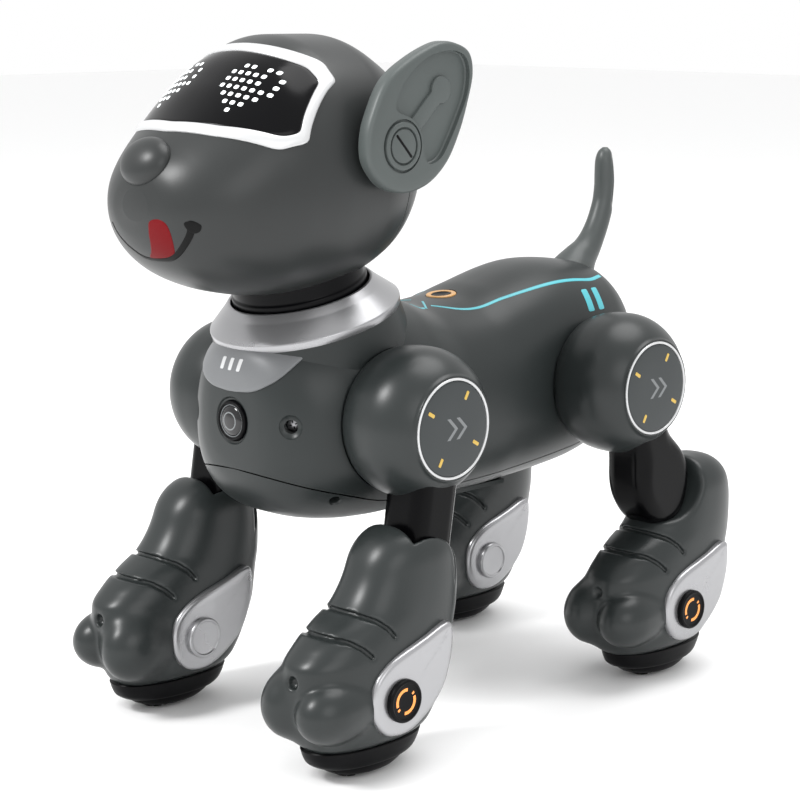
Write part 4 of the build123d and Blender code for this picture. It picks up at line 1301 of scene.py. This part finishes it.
for end in ENDS:
    middle = np.array([LEG_X, joint_place(f"{end}_left_wheel_spin")[0][1], 0.0])
    knee = joint_place(f"{end}_left_knee_bend")[0][1] - middle[1]
    hip = hip_joint[end][1] - middle[1]
    foot_middle = middle + REACH[end] * REARWARDS
    paw = field_part(paw_field(end, knee, hip), middle)
    thigh = field_part(thigh_field(end, knee, hip), middle)
    leaves = join_parts([fairing(foot_middle, way) for way in (1, -1)])
    # Name, part, material, body, slot, the CAD node it replaces, and its sharp angle
    pieces = [
        ("paw", paw, "limb", "foot", "limb_grey", "paw_shell", None),
        ("thigh_bar", thigh, "thigh", "hip", "gloss_black", "thigh", None),
        ("silver_leaves", leaves, "silver", "foot", "silver_plastic", "fairings", 50),
        ("outer_hub", hub_cap(foot_middle, 1), "black", "foot", "black_plastic", "hub_caps", 50),
        ("inner_hub", hub_cap(foot_middle, -1), "silver", "foot", "silver_plastic", None, 50),
        ("hub_arcs", hub_arcs(foot_middle, 1), "orange", "foot", "lens_clear", None, None),
        ("sole", sole_plate(middle), "black", "foot", "black_plastic", "sole_plate", None),
        ("tyre", tyre(middle), "rubber", "wheel", "wheel_rubber", "wheel", 40),
    ]
    for side_name, side in SIDES.items():
        label = f"{end}_{side_name}"
        for name, part, material, body, slot, node, sharp in pieces:
            replaced = f"{label}_{node}" if node else None
            make_object(f"{label}_{name}", flip(part, side), material, f"{label}_{body}", slot, replaced,
                        sharp=sharp)

# ---------------------------------------------------------------- CAD parts that stay
KEPT = {
    "led_board": "board", "battery_pack": "battery", "battery_door": "body", "control_board": "board",
    "speaker": "black", "charge_socket": "black", "body_screws": "steel", "leg_gearboxes": "gear",
    "neck_motor": "steel", "power_switch": "black",
}
for node, material in KEPT.items():
    obj = frame["nodes"][node]
    obj.data.materials.clear()
    obj.data.materials.append(MAT[material])

# ---------------------------------------------------------------- stage
FLOOR_HALF = 6.0            # metres, as the lights' and the camera's places
floor_mesh = bpy.data.meshes.new("floor")
floor_corners = [(a * FLOOR_HALF, b * FLOOR_HALF, 0) for a, b in ((-1, -1), (1, -1), (1, 1), (-1, 1))]
floor_mesh.from_pydata(floor_corners, [], [(0, 1, 2, 3)])
floor_mesh.materials.append(MAT["floor"])
in_scene("floor", floor_mesh)


def look_at(obj, place, target):
    obj.location = place
    obj.rotation_euler = (Vector(target) - Vector(place)).to_track_quat("-Z", "Y").to_euler()


def area_light(name, place, target, size, power):
    light = bpy.data.lights.new(name, "AREA")
    light.shape = "DISK"
    light.size = size
    light.energy = power
    look_at(in_scene(name, light), place, target)


area_light("key", (-0.35, -1.25, 1.35), (0, 0, 0.15), 0.50, 24)
area_light("fill", (1.5, -0.6, 0.8), (0, 0, 0.12), 1.0, 5)
area_light("top", (0.2, 0.5, 1.7), (0, 0, 0.1), 1.2, 16)

world = bpy.data.worlds.new("studio")
world.use_nodes = True
background = world.node_tree.nodes["Background"]
background.inputs["Color"].default_value = (1.0, 1.0, 1.0, 1)
background.inputs["Strength"].default_value = 1.0
bpy.context.scene.world = world
bpy.context.scene.view_settings.view_transform = "Standard"

camera_data = bpy.data.cameras.new("camera")
camera_data.sensor_width = 36
camera_data.lens = 99
CAMERA_TARGET = Vector((0.006, -0.00762, 0.13638))
CAMERA_AZIMUTH, CAMERA_ELEVATION = math.radians(44.93), math.radians(10.66)
CAMERA_DISTANCE = 0.9764
camera = in_scene("camera", camera_data)
look_at(camera, CAMERA_TARGET + CAMERA_DISTANCE * Vector((
    math.sin(CAMERA_AZIMUTH) * math.cos(CAMERA_ELEVATION),
    -math.cos(CAMERA_AZIMUTH) * math.cos(CAMERA_ELEVATION),
    math.sin(CAMERA_ELEVATION),
)), CAMERA_TARGET)
bpy.context.scene.camera = camera
